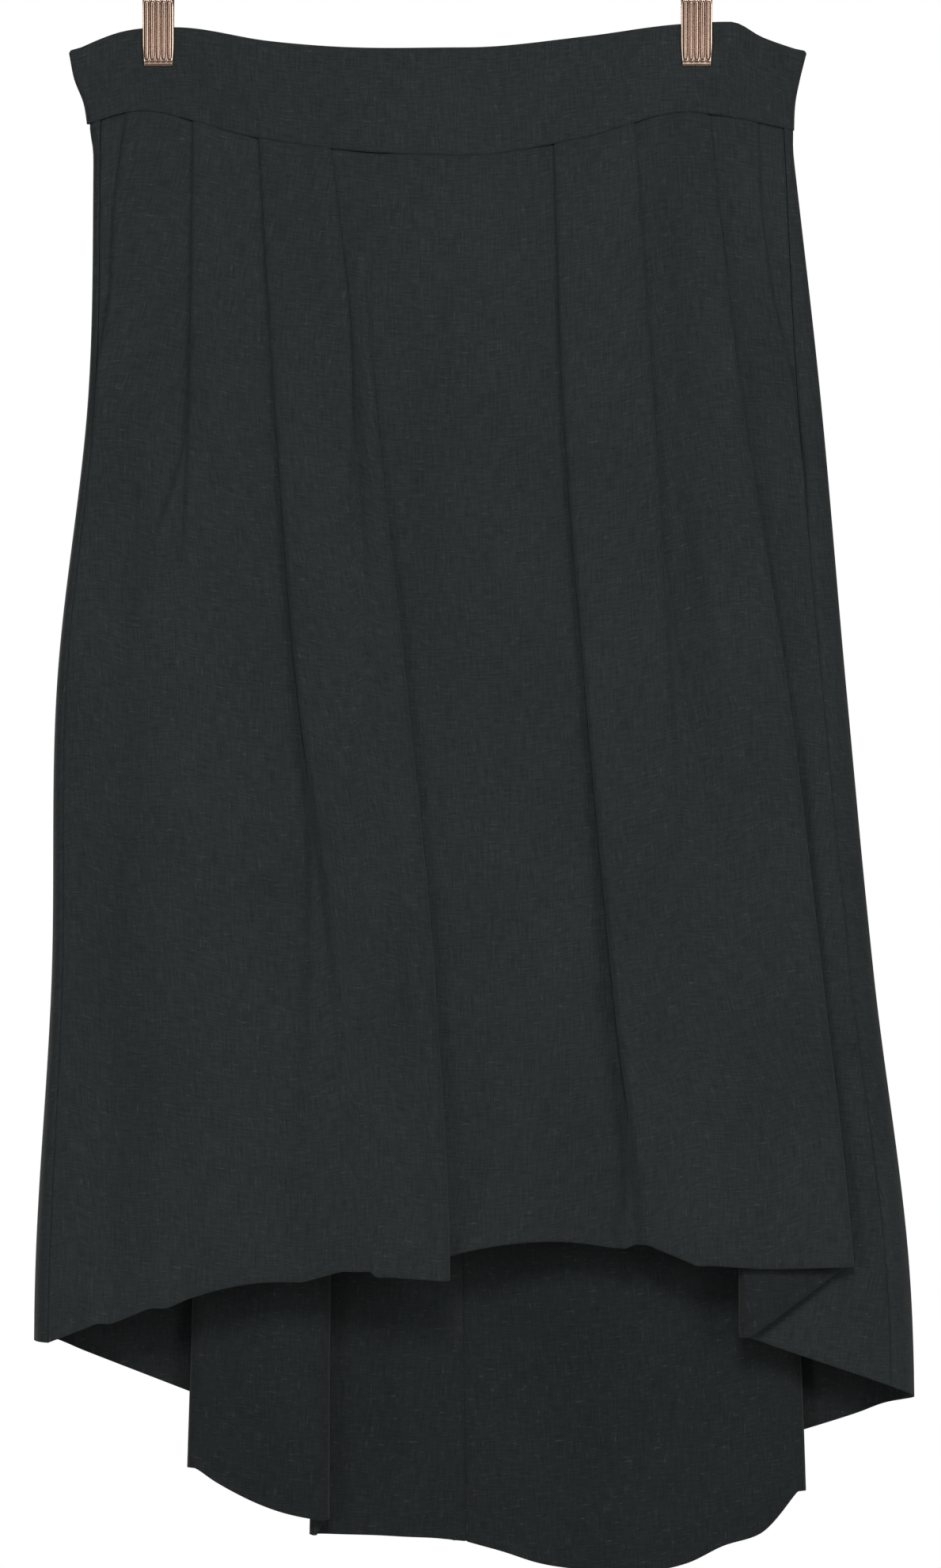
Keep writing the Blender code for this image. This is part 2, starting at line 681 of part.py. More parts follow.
def mesh_of_curve(name, points, radius, resolution):
    """A wire through the points as a closed mesh with welded caps."""
    curve = bpy.data.curves.new(name, "CURVE")
    curve.dimensions = "3D"
    curve.bevel_depth = radius * MM
    curve.bevel_resolution = resolution
    curve.use_fill_caps = True
    spline = curve.splines.new("POLY")
    spline.points.add(len(points) - 1)
    for target, point in zip(spline.points, points):
        target.co = (*[c * MM for c in point], 1)
    thing = bpy.data.objects.new(name, curve)
    bpy.context.scene.collection.objects.link(thing)
    graph = bpy.context.evaluated_depsgraph_get()
    mesh = bpy.data.meshes.new_from_object(thing.evaluated_get(graph))
    bpy.data.objects.remove(thing)
    form = bmesh.new()
    form.from_mesh(mesh)
    bmesh.ops.remove_doubles(form, verts=form.verts, dist=0.00001)
    form.to_mesh(mesh)
    form.free()
    return mesh


def make_hook(material, collection, cutters):
    """Hook wire joined to a sleeve that runs on the bar."""
    wire = mesh_of_curve("hanger_hook", [(x, 0, z) for x, z in hook_route()], HOOK_WIRE_RADIUS, 2)
    hook = add_object("hanger_hook", wire, material, collection)
    place = (0, 0, -BAR_BELOW_RAIL)
    bore_radius = BAR_RADIUS + SEAM_GAP
    sleeve_mesh = cylinder(bore_radius + SLEEVE_WALL, SLEEVE_LENGTH, ROUND_SIDES, "X")
    sleeve = helper("hook_sleeve", sleeve_mesh, cutters, place)
    bore_mesh = cylinder(bore_radius, SLEEVE_LENGTH + CUT_OVER, ROUND_SIDES, "X")
    bore = helper("hook_bore", bore_mesh, cutters, place)
    cut_or_join(hook, sleeve, "UNION")
    cut_or_join(hook, bore, "DIFFERENCE")
    return hook


def make_jaw(name, x_centre, side, material, collection, cutters):
    """A pressed jaw: fluted plate that grips the band, finger tab above the bar, and two ears on the bar."""
    face = CLIPPED_DEPTH / 2 + BAND_WALL / 2 + SEAM_GAP + JAW_WALL / 2
    steps = JAW_FLUTES * 2 + 1
    columns = []
    for i in range(steps + 1):
        x = x_centre + JAW_WIDTH * (i / steps - 0.5)
        raised = FLUTE_RISE if i % 2 == 0 and 0 < i < steps else 0.0
        column = []
        for row, (drop, away) in enumerate(JAW_PROFILE):
            rise = raised if row in FLUTED_ROWS else 0.0
            column.append((x, side * (face + away + rise), height(drop)))
        columns.append(column[::-1])
    if side > 0:
        columns = columns[::-1]
    jaw = sheet(name, columns, material, collection, JAW_WALL)
    depth = face + PLATE_AT_BAR + EAR_PAST_BAR
    middle = (depth / 2 - EAR_PAST_BAR) * side
    for ear in (-1, 1):
        x = x_centre + ear * (JAW_WIDTH / 2 - EAR_INSETS[side])
        ear_mesh = box((EAR_WALL, depth, EAR_HEIGHT))
        ear_box = helper(f"{name}_ear_{ear}", ear_mesh, cutters, (x, middle, -BAR_BELOW_RAIL))
        cut_or_join(jaw, ear_box, "UNION")
    bore_mesh = cylinder(BAR_RADIUS + SEAM_GAP, JAW_WIDTH + CUT_OVER, ROUND_SIDES, "X")
    bore = helper(f"{name}_bore", bore_mesh, cutters, (x_centre, 0, -BAR_BELOW_RAIL))
    cut_or_join(jaw, bore, "DIFFERENCE")
    return jaw


def make_spring(name, x_centre, material, collection, cutters):
    """The coil between the jaws, as the tube that it fills."""
    bore_radius = BAR_RADIUS + SEAM_GAP
    mesh = cylinder(bore_radius + SPRING_WALL, SPRING_LENGTH, ROUND_SIDES, "X")
    spring = add_object(name, mesh, material, collection)
    spring.location = (x_centre * MM, 0, -BAR_BELOW_RAIL * MM)
    bore_mesh = cylinder(bore_radius, SPRING_LENGTH + CUT_OVER, ROUND_SIDES, "X")
    bore = helper(f"{name}_bore", bore_mesh, cutters, (x_centre, 0, -BAR_BELOW_RAIL))
    cut_or_join(spring, bore, "DIFFERENCE")
    return spring


def make_slider(material, collection, cutters):
    """Slider seated on the centre-back seam, with the pin that its pull hangs from."""
    x = CENTRE_BACK_X[0]
    face = CLIPPED_DEPTH / 2 + BAND_WALL / 2 + SEAM_GAP
    z = float(height(ZIP_PIN_DROP))
    slider = add_object("zip_slider", box((SLIDER_WIDTH, SLIDER_WALL, SLIDER_LENGTH)), material, collection)
    middle = face + SLIDER_WALL / 2
    slider.location = (x * MM, middle * MM, z * MM)
    cheek_depth = ZIP_PIN_Y + 2 * ZIP_PIN_RADIUS - middle
    for side in (-1, 1):
        place = (x + side * (CHEEK_GAP + CHEEK_WALL) / 2, middle + cheek_depth / 2, z)
        cheek = helper(f"zip_cheek_{side}", box((CHEEK_WALL, cheek_depth, CHEEK_HEIGHT)), cutters, place)
        cut_or_join(slider, cheek, "UNION")
    pin_mesh = cylinder(ZIP_PIN_RADIUS, CHEEK_GAP + CHEEK_WALL, ROUND_SIDES, "X")
    pin = helper("zip_pin", pin_mesh, cutters, (x, ZIP_PIN_Y, z))
    cut_or_join(slider, pin, "UNION")
    return slider


def make_pull(material, collection, cutters):
    """The pull tab, an eye on the pin with a neck and a blade below it."""
    x = CENTRE_BACK_X[0]
    z = float(height(ZIP_PIN_DROP))
    eye = cylinder(PULL_EYE_RADIUS, PULL_EYE_WIDTH, ROUND_SIDES, "X")
    pull = add_object("zip_pull", eye, material, collection)
    pull.location = (x * MM, ZIP_PIN_Y * MM, z * MM)
    neck_middle = z - (PULL_NECK_END + PULL_EYE_RADIUS) / 2
    neck_mesh = box((PULL_NECK_WIDTH, PULL_WALL, PULL_NECK_END))
    neck = helper("pull_neck", neck_mesh, cutters, (x, ZIP_PIN_Y, neck_middle))
    blade_mesh = box((PULL_WIDTH, PULL_WALL, PULL_LENGTH - PULL_NECK_END))
    blade_middle = z - (PULL_LENGTH + PULL_NECK_END) / 2
    blade = helper("pull_blade", blade_mesh, cutters, (x, ZIP_PIN_Y, blade_middle))
    hole_mesh = cylinder(PULL_HOLE_RADIUS, PULL_EYE_WIDTH + CUT_OVER, ROUND_SIDES, "X")
    hole = helper("pull_hole", hole_mesh, cutters, (x, ZIP_PIN_Y, z))
    cut_or_join(pull, neck, "UNION")
    cut_or_join(pull, blade, "UNION")
    cut_or_join(pull, hole, "DIFFERENCE")
    return pull


def clear_scene():
    for thing in list(bpy.data.objects):
        bpy.data.objects.remove(thing)


def main():
    clear_scene()
    skirt = new_collection("skirt_on_clip_hanger")
    cutters = new_collection("cutters")
    cloth = cloth_material("charcoal_cloth", (0.022, 0.027, 0.027))
    chrome = metal_material("chromed_steel", (0.62, 0.58, 0.56), 0.15)
    zip_metal = metal_material("dark_zip_metal", (0.1, 0.1, 0.1), 0.4)
    make_bands(cloth, skirt)
    make_front(cloth, skirt)
    left_end, right_end = LEFT_MOUTH_DROPS[-1], RIGHT_MOUTH_DROPS[-1]
    make_facing("pocket_facing_left", -1, LEFT_EDGE, left_seam, left_end, cloth, skirt)
    make_facing("pocket_facing_right", 1, RIGHT_EDGE, right_seam, right_end, cloth, skirt)
    make_backs(cloth, skirt)
    make_bar(chrome, skirt)
    make_hook(chrome, skirt, cutters)
    for side, x in (("left", -CLIP_CENTRE), ("right", CLIP_CENTRE)):
        make_jaw(f"clip_{side}_front", x, -1, chrome, skirt, cutters)
        make_jaw(f"clip_{side}_back", x, 1, chrome, skirt, cutters)
        make_spring(f"clip_{side}_spring", x, chrome, skirt, cutters)
    make_slider(zip_metal, skirt, cutters)
    make_pull(zip_metal, skirt, cutters)


main()
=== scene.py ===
"""A pleated high-low skirt of charcoal cloth, hung by its waistband from a steel clip hanger.

Sizes are in millimetres and become metres when a mesh is made. A drop is the distance below the highest
point of the waistband.
"""

import math
from collections import namedtuple

import bpy
import numpy as np
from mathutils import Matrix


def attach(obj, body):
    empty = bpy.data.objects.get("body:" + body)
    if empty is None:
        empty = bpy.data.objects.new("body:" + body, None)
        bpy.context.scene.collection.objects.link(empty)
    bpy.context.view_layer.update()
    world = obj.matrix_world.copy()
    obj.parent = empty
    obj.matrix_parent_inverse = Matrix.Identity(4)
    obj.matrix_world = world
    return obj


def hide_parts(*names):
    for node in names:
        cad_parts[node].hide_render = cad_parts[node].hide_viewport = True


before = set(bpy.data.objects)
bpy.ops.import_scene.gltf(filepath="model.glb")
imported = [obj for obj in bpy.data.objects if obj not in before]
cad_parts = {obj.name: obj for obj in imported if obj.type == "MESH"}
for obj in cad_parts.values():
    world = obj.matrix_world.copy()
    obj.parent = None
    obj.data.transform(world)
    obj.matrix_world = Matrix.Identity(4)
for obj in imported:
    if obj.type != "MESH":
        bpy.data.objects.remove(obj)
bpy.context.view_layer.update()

# Camera
# A long lens stands square to the front, level with the middle of the skirt. The picture takes in 511 by
# 852 mm, so the hanger's hook and bar are above it and the clips are cut by its top edge.
CAMERA_DISTANCE = 4.0
PICTURE_CENTRE = (0.0234, -0.5440)
PICTURE_HEIGHT = 0.852

camera_data = bpy.data.cameras.new("camera")
camera_data.sensor_width = 36.0
camera_data.lens = camera_data.sensor_width * CAMERA_DISTANCE / PICTURE_HEIGHT
camera = bpy.data.objects.new("camera", camera_data)
camera.location = (PICTURE_CENTRE[0], -CAMERA_DISTANCE, PICTURE_CENTRE[1])
camera.rotation_euler = (math.pi / 2, 0, 0)
bpy.context.scene.collection.objects.link(camera)
bpy.context.scene.camera = camera

# Studio
# The background shows white, and the room behind the camera lights the skirt dimly from all round. A soft
# lamp stands in front and above, weaker ones stand at each side and behind, and a pale floor lies below.
ROOM_LIGHT = 0.19
bpy.context.scene.view_settings.view_transform = "Standard"
world = bpy.data.worlds.new("studio")
world.use_nodes = True
world_nodes = world.node_tree.nodes
seen = world_nodes.new("ShaderNodeLightPath")
brightness = world_nodes.new("ShaderNodeMapRange")
brightness.inputs["To Min"].default_value = ROOM_LIGHT
world.node_tree.links.new(seen.outputs["Is Camera Ray"], brightness.inputs["Value"])
world.node_tree.links.new(brightness.outputs[0], world_nodes["Background"].inputs["Strength"])
world_nodes["Background"].inputs["Color"].default_value = (1, 1, 1, 1)
bpy.context.scene.world = world

for name, place, turn, width, tall, power in (
    ("key_lamp", (0.06, -2.3, 0.52), (1.19, 0, 0.02), 0.5, 0.6, 36),
    ("left_lamp", (-1.5, -2.0, -0.3), (1.48, 0, -0.64), 0.7, 1.2, 13),
    ("right_lamp", (1.5, -2.0, -0.3), (1.48, 0, 0.64), 0.7, 1.2, 22),
    ("rear_lamp", (-1.2, 3.0, 0.6), (-1.2, 0, 0.38), 1.2, 1.2, 60),
):
    lamp_data = bpy.data.lights.new(name, "AREA")
    lamp_data.shape = "RECTANGLE"
    lamp_data.size = width
    lamp_data.size_y = tall
    lamp_data.energy = power
    lamp = bpy.data.objects.new(name, lamp_data)
    lamp.location = place
    lamp.rotation_euler = turn
    bpy.context.scene.collection.objects.link(lamp)

bpy.ops.object.select_all(action="DESELECT")
bpy.ops.mesh.primitive_circle_add(vertices=96, radius=1.3, fill_type="NGON", location=(0, 0, -1.15))
floor = bpy.context.object
floor.name = "floor"

# Charcoal cloth
# A matte plain weave of near-black yarn with a faint green cast. Thick places in the yarn, called slubs,
# run as short light and dark streaks along both threads, with a few brown and blue flecks.
WEAVE_PITCH = 0.55


def linear(code):
    """An sRGB hex colour as linear red, green, blue and alpha."""
    parts = [int(code[i:i + 2], 16) / 255 for i in (0, 2, 4)]
    return (*[p / 12.92 if p <= 0.04045 else ((p + 0.055) / 1.055) ** 2.4 for p in parts], 1)


def add_node(tree, kind, settings=(), links=()):
    """A new node with its settings, by attribute or socket name, and its input links."""
    node = tree.nodes.new(kind)
    for key, value in dict(settings).items():
        if isinstance(key, str) and hasattr(node, key):
            setattr(node, key, value)
        else:
            node.inputs[key].default_value = value
    for key, output in dict(links).items():
        tree.links.new(output, node.inputs[key])
    return node


def streaks(tree, threads, scale, detail):
    """Noise drawn out along one thread, as a value round 0.5."""
    placed = add_node(tree, "ShaderNodeMapping", {"Scale": scale}, {"Vector": threads})
    noise = add_node(
        tree, "ShaderNodeTexNoise", {"Scale": 1.0, "Detail": detail, "Roughness": 0.6}, {"Vector": placed.outputs[0]}
    )
    return noise.outputs["Fac"]


def mixed(tree, blend, factor, first, second):
    """A colour mix. factor, first and second are values or outputs."""
    node = add_node(tree, "ShaderNodeMix", {"data_type": "RGBA", "blend_type": blend})
    for index, value in ((0, factor), (6, first), (7, second)):
        if isinstance(value, (int, float, tuple)):
            node.inputs[index].default_value = value
        else:
            tree.links.new(value, node.inputs[index])
    return node.outputs[2]


def cloth_material(name, shade, light):
    """The woven cloth, between a shade and a light yarn colour. Its pattern follows the UV map, in metres."""
    material = bpy.data.materials.new(name)
    material.use_nodes = True
    tree = material.node_tree
    shader = tree.nodes["Principled BSDF"]
    uv = add_node(tree, "ShaderNodeUVMap", {"uv_map": "cloth"})
    threads = add_node(tree, "ShaderNodeMapping", {"Scale": (1000, 1000, 1000)}, {"Vector": uv.outputs[0]}).outputs[0]
    weft = streaks(tree, threads, (0.11, 1.1, 1), 3)
    warp = streaks(tree, threads, (1.2, 0.07, 1), 3)
    grain = streaks(tree, threads, (0.9, 0.9, 1), 2)
    cloudy = streaks(tree, threads, (0.012, 0.009, 1), 2)
    weft_ramp = add_node(tree, "ShaderNodeMapRange", {"From Min": 0.3, "From Max": 0.7}, {"Value": weft})
    warp_ramp = add_node(tree, "ShaderNodeMapRange", {"From Min": 0.3, "From Max": 0.7}, {"Value": warp})
    both = add_node(tree, "ShaderNodeMath", {"operation": "ADD"}, {0: weft_ramp.outputs[0], 1: warp_ramp.outputs[0]})
    with_grain = add_node(tree, "ShaderNodeMath", {"operation": "ADD"}, {0: both.outputs[0], 1: grain})
    yarn = add_node(tree, "ShaderNodeMath", {"operation": "MULTIPLY", 1: 0.4}, {0: with_grain.outputs[0]})
    colour = mixed(tree, "MIX", yarn.outputs[0], linear(shade), linear(light))
    brown = streaks(tree, threads, (0.16, 0.8, 1), 4)
    blue = streaks(tree, threads, (0.75, 0.13, 1), 4)
    for fleck, tint in ((brown, "5a4a42"), (blue, "39465a")):
        limits = {"From Min": 0.6, "From Max": 0.76, "To Max": 0.38}
        few = add_node(tree, "ShaderNodeMapRange", limits, {"Value": fleck})
        colour = mixed(tree, "MIX", few.outputs[0], colour, linear(tint))
    soft = add_node(tree, "ShaderNodeMapRange", {"To Min": 0.82, "To Max": 1.18}, {"Value": cloudy})
    colour = mixed(tree, "MULTIPLY", 1.0, colour, soft.outputs[0])
    tree.links.new(colour, shader.inputs["Base Color"])
    rough = add_node(tree, "ShaderNodeMapRange", {"To Min": 0.82, "To Max": 0.98}, {"Value": grain})
    tree.links.new(rough.outputs[0], shader.inputs["Roughness"])
    shader.inputs["Specular IOR Level"].default_value = 0.12
    shader.inputs["Sheen Weight"].default_value = 0.05
    shader.inputs["Sheen Roughness"].default_value = 0.5
    pitch = 1 / (2 * WEAVE_PITCH)
    weave = []
    for axis in ("X", "Y"):
        settings = {"bands_direction": axis, "Scale": pitch, "Distortion": 0.6}
        wave = add_node(tree, "ShaderNodeTexWave", settings, {"Vector": threads})
        weave.append(wave.outputs["Fac"])
    crossed = add_node(tree, "ShaderNodeMath", {"operation": "MULTIPLY"}, {0: weave[0], 1: weave[1]})
    raised = add_node(
        tree, "ShaderNodeMath", {"operation": "MULTIPLY_ADD", 1: 0.25}, {0: crossed.outputs[0], 2: yarn.outputs[0]}
    )
    bump = add_node(
        tree, "ShaderNodeBump", {"Strength": 0.5, "Distance": 0.00035}, {"Height": raised.outputs[0]}
    )
    tree.links.new(bump.outputs[0], shader.inputs["Normal"])
    return material


charcoal = cloth_material("charcoal_plain_weave", "0d1111", "292e2e")
# The wrong side of the cloth is a darker copy of the same weave: painted shade, standing in for the shade that falls
# inside the skirt.
charcoal_painted_shade = cloth_material("charcoal_plain_weave_painted_shade", "090c0c", "222626")

# Front panel
# One flared front, cut from the cloth and sewn to the waistband in three pressed tucks a side. The tucks
# open into soft folds, one more fold opens below the left hip, and the hem is turned up and stitched.
CLOTH = 0.8
DROPS = (56, 200, 360, 520, 680, 842)
SEAM_X = (-187, -154, -99, -50, 20, 86, 140, 160, 200)
SEAM_DROP = (55, 47.3, 60.6, 68, 71.4, 61.5, 48, 50, 58)
LEFT_OUTLINE = (-181.5, -184.5, -201.7, -204.7, -213.7, -214.0)
RIGHT_OUTLINE = (197.4, 213.7, 227.9, 243.4, 262.7, 266.0)
LEFT_TURN = (4, 4.4, 6, 7, 9, 9)
RIGHT_TURN = (4, 13, 14, 14, 14, 14)
FRONT_DEPTH = (-5.5, -8, -13, -18, -22, -23)
FRONT_CROWN = (0, 2, 4, 6, 8, 8)
LAYER_PITCH = (1.2, 2.1, 3.4, 5.0, 7.0, 8.0)
LEFT_MOUTH = ((56, 100, 150, 190), (-164.5, -170, -172.8))
RIGHT_MOUTH = ((56, 100, 150, 190, 238), (179.3, 181, 187.5, 197))
LEFT_SEAM_HEM = 715.5
RIGHT_SEAM_HEM = 739.0
FRONT_HEM_TURN = 8.0
UPRIGHT_X = (-1, -0.3, 0, 0, 0, 0.3, 1)
UPRIGHT_LEVELS = (0, 0.35, 0.75, 1, 1.25, 1.65, 2)
FOLDED_LEVELS = (0, 0.5, 1, 1, 1, 1.5, 2)

Pleat = namedtuple("Pleat", "name faces edge tuck opening flat hem_edge hem_tuck bow")
Valley = namedtuple("Valley", "name x depth half_width")
Crease = namedtuple("Crease", "name drops x height half_width")
Column = namedtuple("Column", "place hem")
Side = namedtuple("Side", "x level hem")
FRONT_PLEATS = (
    Pleat("hip_left", -1, (-127, -129, -135, -140, -145, -147),
          (15, 4, -30, -30, -30, -30), 30, 0, 696, 705, -4),
    Pleat("thigh_left", -1, (-91.6, -83, -70.5, -50, -42, -40),
          (15, 13, 6, -15, -30, -30), 30, 0, 676, 682, 0),
    Pleat("upper_left", 1, (-54, -41, -44, -38, -34, -34),
          (15, 2, -10, -10, -10, -10), 10, 0, 676, 679, 0),
    Pleat("centre_left", 1, (-38, -29, -11.6, 4, 12, 12),
          (-10, 2, 14, 20, 26, 26), 10, 2, 681, 676, -8),
    Pleat("centre_right", -1, (68.8, 73.5, 85.6, 100.2, 117, 120),
          (18, 18, 20, 14, -14, -22), 30, 2, 662, 664, 0),
    Pleat("thigh_right", 1, (112.2, 122, 132, 140, 150, 155),
          (18, 10, -8, -32, -35, -35), 30, 0, 673, 675, 0),
    Pleat("hip_right", 1, (153, 169.4, 194.8, 214, 231, 236),
          (16, 16, 22, 40, 62, 64), 30, 0, 674, 712.5, 0),
)
FRONT_VALLEYS = (
    Valley("left_side", (-166, -166, -164, -173, -173, -172), (0, 1.5, 4, 6, 8, 8), 15),
    Valley("left_middle", (-110, -110, -104, -95, -80, -78), (0, 0, 1, 4, 6, 6), 24),
    Valley("centre_hem", (60, 60, 66, 72, 72, 70), (0, 0, 0, 1, 5, 5), 20),
    Valley("right_hem", (190, 190, 185, 182, 180, 180), (0, 0, 0, 1, 3, 3), 25),
)
# Soft ridges stand out of the cloth and troughs, with a height below 0, sink into it
FRONT_CREASES = (
    Crease("ridge_by_hip_tuck", (60, 110, 180, 215), (-122, -121, -119, -118), 0.9, 6),
    Crease("trough_at_hip_tuck", (60, 110, 180, 215), (-131, -131, -133, -134), -0.8, 6),
    Crease("ridge_beside_thigh", (90, 160, 260, 380, 500), (-80, -75, -66, -56, -44), 1.1, 8),
    Crease("trough_beside_thigh", (120, 200, 300, 420, 520), (-101, -94, -82, -68, -56), -1.0, 9),
    Crease("ridge_centre", (100, 200, 300, 420, 540), (14, 16, 22, 34, 46), 0.5, 22),
    Crease("ridge_beside_centre", (90, 200, 320, 440, 560, 660), (80, 85, 94, 107, 124, 136), 0.9, 7),
    Crease("ridge_left_hem", (500, 570, 640, 690), (-116, -118, -119, -120), 1.5, 10),
    Crease("trough_left_hem", (500, 570, 640, 700), (-158, -157, -156, -153), -1.6, 8),
    Crease("ridge_right", (260, 360, 460, 560, 660), (150, 160, 172, 186, 200), 1.2, 10),
    Crease("trough_hip_right", (120, 200, 280, 340), (120, 128, 136, 142), -0.8, 10),
    Crease("trough_centre_hem", (580, 620, 660), (78, 79, 75), -1.6, 7),
    Crease("trough_main_fold", (120, 200, 300, 420, 540, 640), (-22, -20, -6, 9, 16, 20), -2.3, 7),
    Crease("ridge_main_fold", (140, 240, 340, 460, 560, 650), (-42, -34, -22, -9, 0, 4), 1.5, 8),
    Crease("ridge_flap_edge", (430, 500, 560, 610, 660), (-19, -10, 0, 7, 11), 2.2, 6),
    Crease("trough_flap_edge", (430, 500, 560, 610, 650), (-7, 0, 8, 14, 18), -1.6, 5),
    Crease("ridge_centre_right", (100, 220, 360, 480, 600), (74, 79, 88, 98, 110), 1.0, 5),
    Crease("trough_centre_right", (100, 220, 360, 480, 600), (62, 66, 76, 87, 100), -2.0, 8),
    Crease("trough_thigh_right", (80, 200, 300, 390), (121, 131, 138, 143), -1.9, 7),
    Crease("ridge_hip_right", (70, 200, 340, 480, 640), (143, 158, 181, 200, 222), 1.5, 7),
    Crease("trough_hip_strip", (430, 520, 600, 660), (221, 228, 233, 236), -2.2, 6),
    Crease("trough_left_valley", (220, 320, 420, 520, 600, 690), (-166, -168, -173, -175, -176, -173), -2.4, 9),
    Crease("ridge_left_wrap", (300, 420, 540, 690), (-190, -192, -193, -192), 1.2, 8),
    Crease("soft_highlight_left", (510, 545, 580), (-119, -120, -120), 1.0, 6),
)


def along(places, values, at):
    """A smooth curve through values given at rising places, carried straight on past its ends."""
    places = np.asarray(places, float)
    values = np.asarray(values, float)
    at = np.asarray(at, float)
    chords = np.diff(values) / np.diff(places)
    slopes = np.concatenate([chords[:1], (chords[:-1] + chords[1:]) / 2, chords[-1:]])
    slopes[1:-1][chords[:-1] * chords[1:] <= 0] = 0.0
    part = np.clip(np.searchsorted(places, at, side="right") - 1, 0, len(places) - 2)
    width = places[part + 1] - places[part]
    t = (at - places[part]) / width
    inside = np.clip(t, 0, 1)
    start = (1 + 2 * inside) * (1 - inside) ** 2 * values[part]
    start = start + inside * (1 - inside) ** 2 * width * slopes[part]
    end = inside**2 * (3 - 2 * inside) * values[part + 1]
    end = end + inside**2 * (inside - 1) * width * slopes[part + 1]
    before = np.minimum(t, 0) * width * slopes[0]
    after = np.maximum(t - 1, 0) * width * slopes[-1]
    return start + end + before + after


def ease(t):
    t = np.clip(t, 0, 1)
    return t * t * (3 - 2 * t)


def waist_seam(x):
    return along(SEAM_X, SEAM_DROP, x)


def valleys(table, x, drop):
    total = np.zeros_like(np.asarray(drop, float))
    for valley in table:
        away = (x - along(DROPS, valley.x, drop)) / valley.half_width
        total = total + along(DROPS, valley.depth, drop) * np.exp(-(away**2))
    return total


def relief(table, x, drop):
    """Height of the creases, which fade in and out over 40 mm at their ends."""
    total = np.zeros_like(np.asarray(drop, float))
    for crease in table:
        centre = along(crease.drops, crease.x, np.clip(drop, crease.drops[0], crease.drops[-1]))
        fade = ease((drop - crease.drops[0] + 20) / 40) * ease((crease.drops[-1] + 20 - drop) / 40)
        total = total + crease.height * fade * np.exp(-(((x - centre) / crease.half_width) ** 2))
    return total


def rumple(x, drop, seed):
    """The faint unevenness of hanging cloth, drawn out down its length."""
    first = np.sin(x / 9.1 + seed + 1.3 * np.sin(drop / 71 + seed)) * np.sin(drop / 83 + 2 * seed)
    second = np.sin(x / 5.3 + 2.1 * seed + 0.9 * np.sin(drop / 39)) * np.sin(drop / 57 + seed)
    third = np.sin(x / 17 - 1.7 * seed + 1.1 * np.sin(drop / 97 + seed))
    return 0.22 * first + 0.1 * second + 0.25 * third


def front_y(x, drop, level):
    """Depth of the front at a fold level: 0 is nearest the viewer and 2 the deepest."""
    across = np.clip(1 - ((x - 25) / 225) ** 2, 0, 1)
    base = along(DROPS, FRONT_DEPTH, drop) - along(DROPS, FRONT_CROWN, drop) * across
    base = base - relief(FRONT_CREASES, x, drop) - rumple(x, drop, 0.4) * ease((drop - 70) / 60)
    return base + along(DROPS, LAYER_PITCH, drop) * level + valleys(FRONT_VALLEYS, x, drop)


def fold_points(pleat, drop):
    """X and level of a fold's seven points. Folded they make an S, which stands up and then opens."""
    edge = along(DROPS, pleat.edge, drop)
    tuck = along(DROPS, pleat.tuck, drop)
    turn = np.maximum(along(DROPS, LAYER_PITCH, drop) / 2, 1.2)
    full = 2 * turn + 4.0
    size = np.maximum(np.abs(tuck), full)
    none = 0 * size
    folded = np.array([-turn, none, -turn, -size / 2, turn - size, -size, turn - size])
    opened = np.array([-turn, none, turn, size / 2, size - turn, size, size + turn])
    upright = np.array([turn * share for share in UPRIGHT_X])
    share = np.clip(np.abs(tuck) / full, 0, 1)
    x = upright + (np.where(tuck > 0, folded, opened) - upright) * share
    lying = np.array([none + level for level in FOLDED_LEVELS])
    standing = np.array([none + level for level in UPRIGHT_LEVELS])
    level = standing + (lying - standing) * share
    lift = ease(1 + np.minimum(tuck, 0) / pleat.opening)
    level = pleat.flat + (level - pleat.flat) * lift
    if pleat.faces < 0:
        return edge - x[::-1], level[::-1]
    return edge + x, level


def fold_column(pleat, index, surface_y):
    def place(drop):
        x, level = fold_points(pleat, drop)
        return x[index], surface_y(x[index], drop, level[index])

    return place


def stretch_column(previous, following, sides, surface_y, share):
    """A column of the cloth between two folds, at share of the way between them."""

    def place(drop):
        if previous is None:
            start = sides[0].x(drop)
            level_start, free_start = sides[0].level(drop), start + 12
        else:
            x, level = fold_points(previous, drop)
            start, level_start, free_start = x[-1], level[-1], x.max(axis=0)
        if following is None:
            end = sides[1].x(drop)
            level_end, free_end = sides[1].level(drop), end - 12
        else:
            x, level = fold_points(following, drop)
            end, level_end, free_end = x[0], level[0], x.min(axis=0)
        x = start + (end - start) * share(drop, start, end)
        room = np.maximum(free_end - free_start, 3.0)
        level = level_start + (level_end - level_start) * ease((x - free_start) / room)
        if surface_y is front_y:
            clear = ease((x - free_start) / 10) * ease((free_end - x) / 10)
            sewn = clear * np.exp(-(((drop - waist_seam(x)) / 10) ** 2))
            level = level * (1 - 0.85 * sewn)
        return x, surface_y(x, drop, level)

    return place


def stretch_hem(previous, following, sides, fraction):
    if previous is None:
        start, bow = sides[0].hem, 0.0
    else:
        start = previous.hem_tuck if previous.faces > 0 else previous.hem_edge
        bow = previous.bow
    if following is None:
        end = sides[1].hem
    else:
        end = following.hem_edge if following.faces > 0 else following.hem_tuck
    return start + (end - start) * fraction + bow * 4 * fraction * (1 - fraction)


def fold_columns(pleat, surface_y):
    first, last = pleat.hem_edge, pleat.hem_tuck
    if pleat.faces < 0:
        first, last = last, first
    hems = (first, first, first, (first + last) / 2, last, last, last)
    return [Column(fold_column(pleat, index, surface_y), hem) for index, hem in enumerate(hems)]


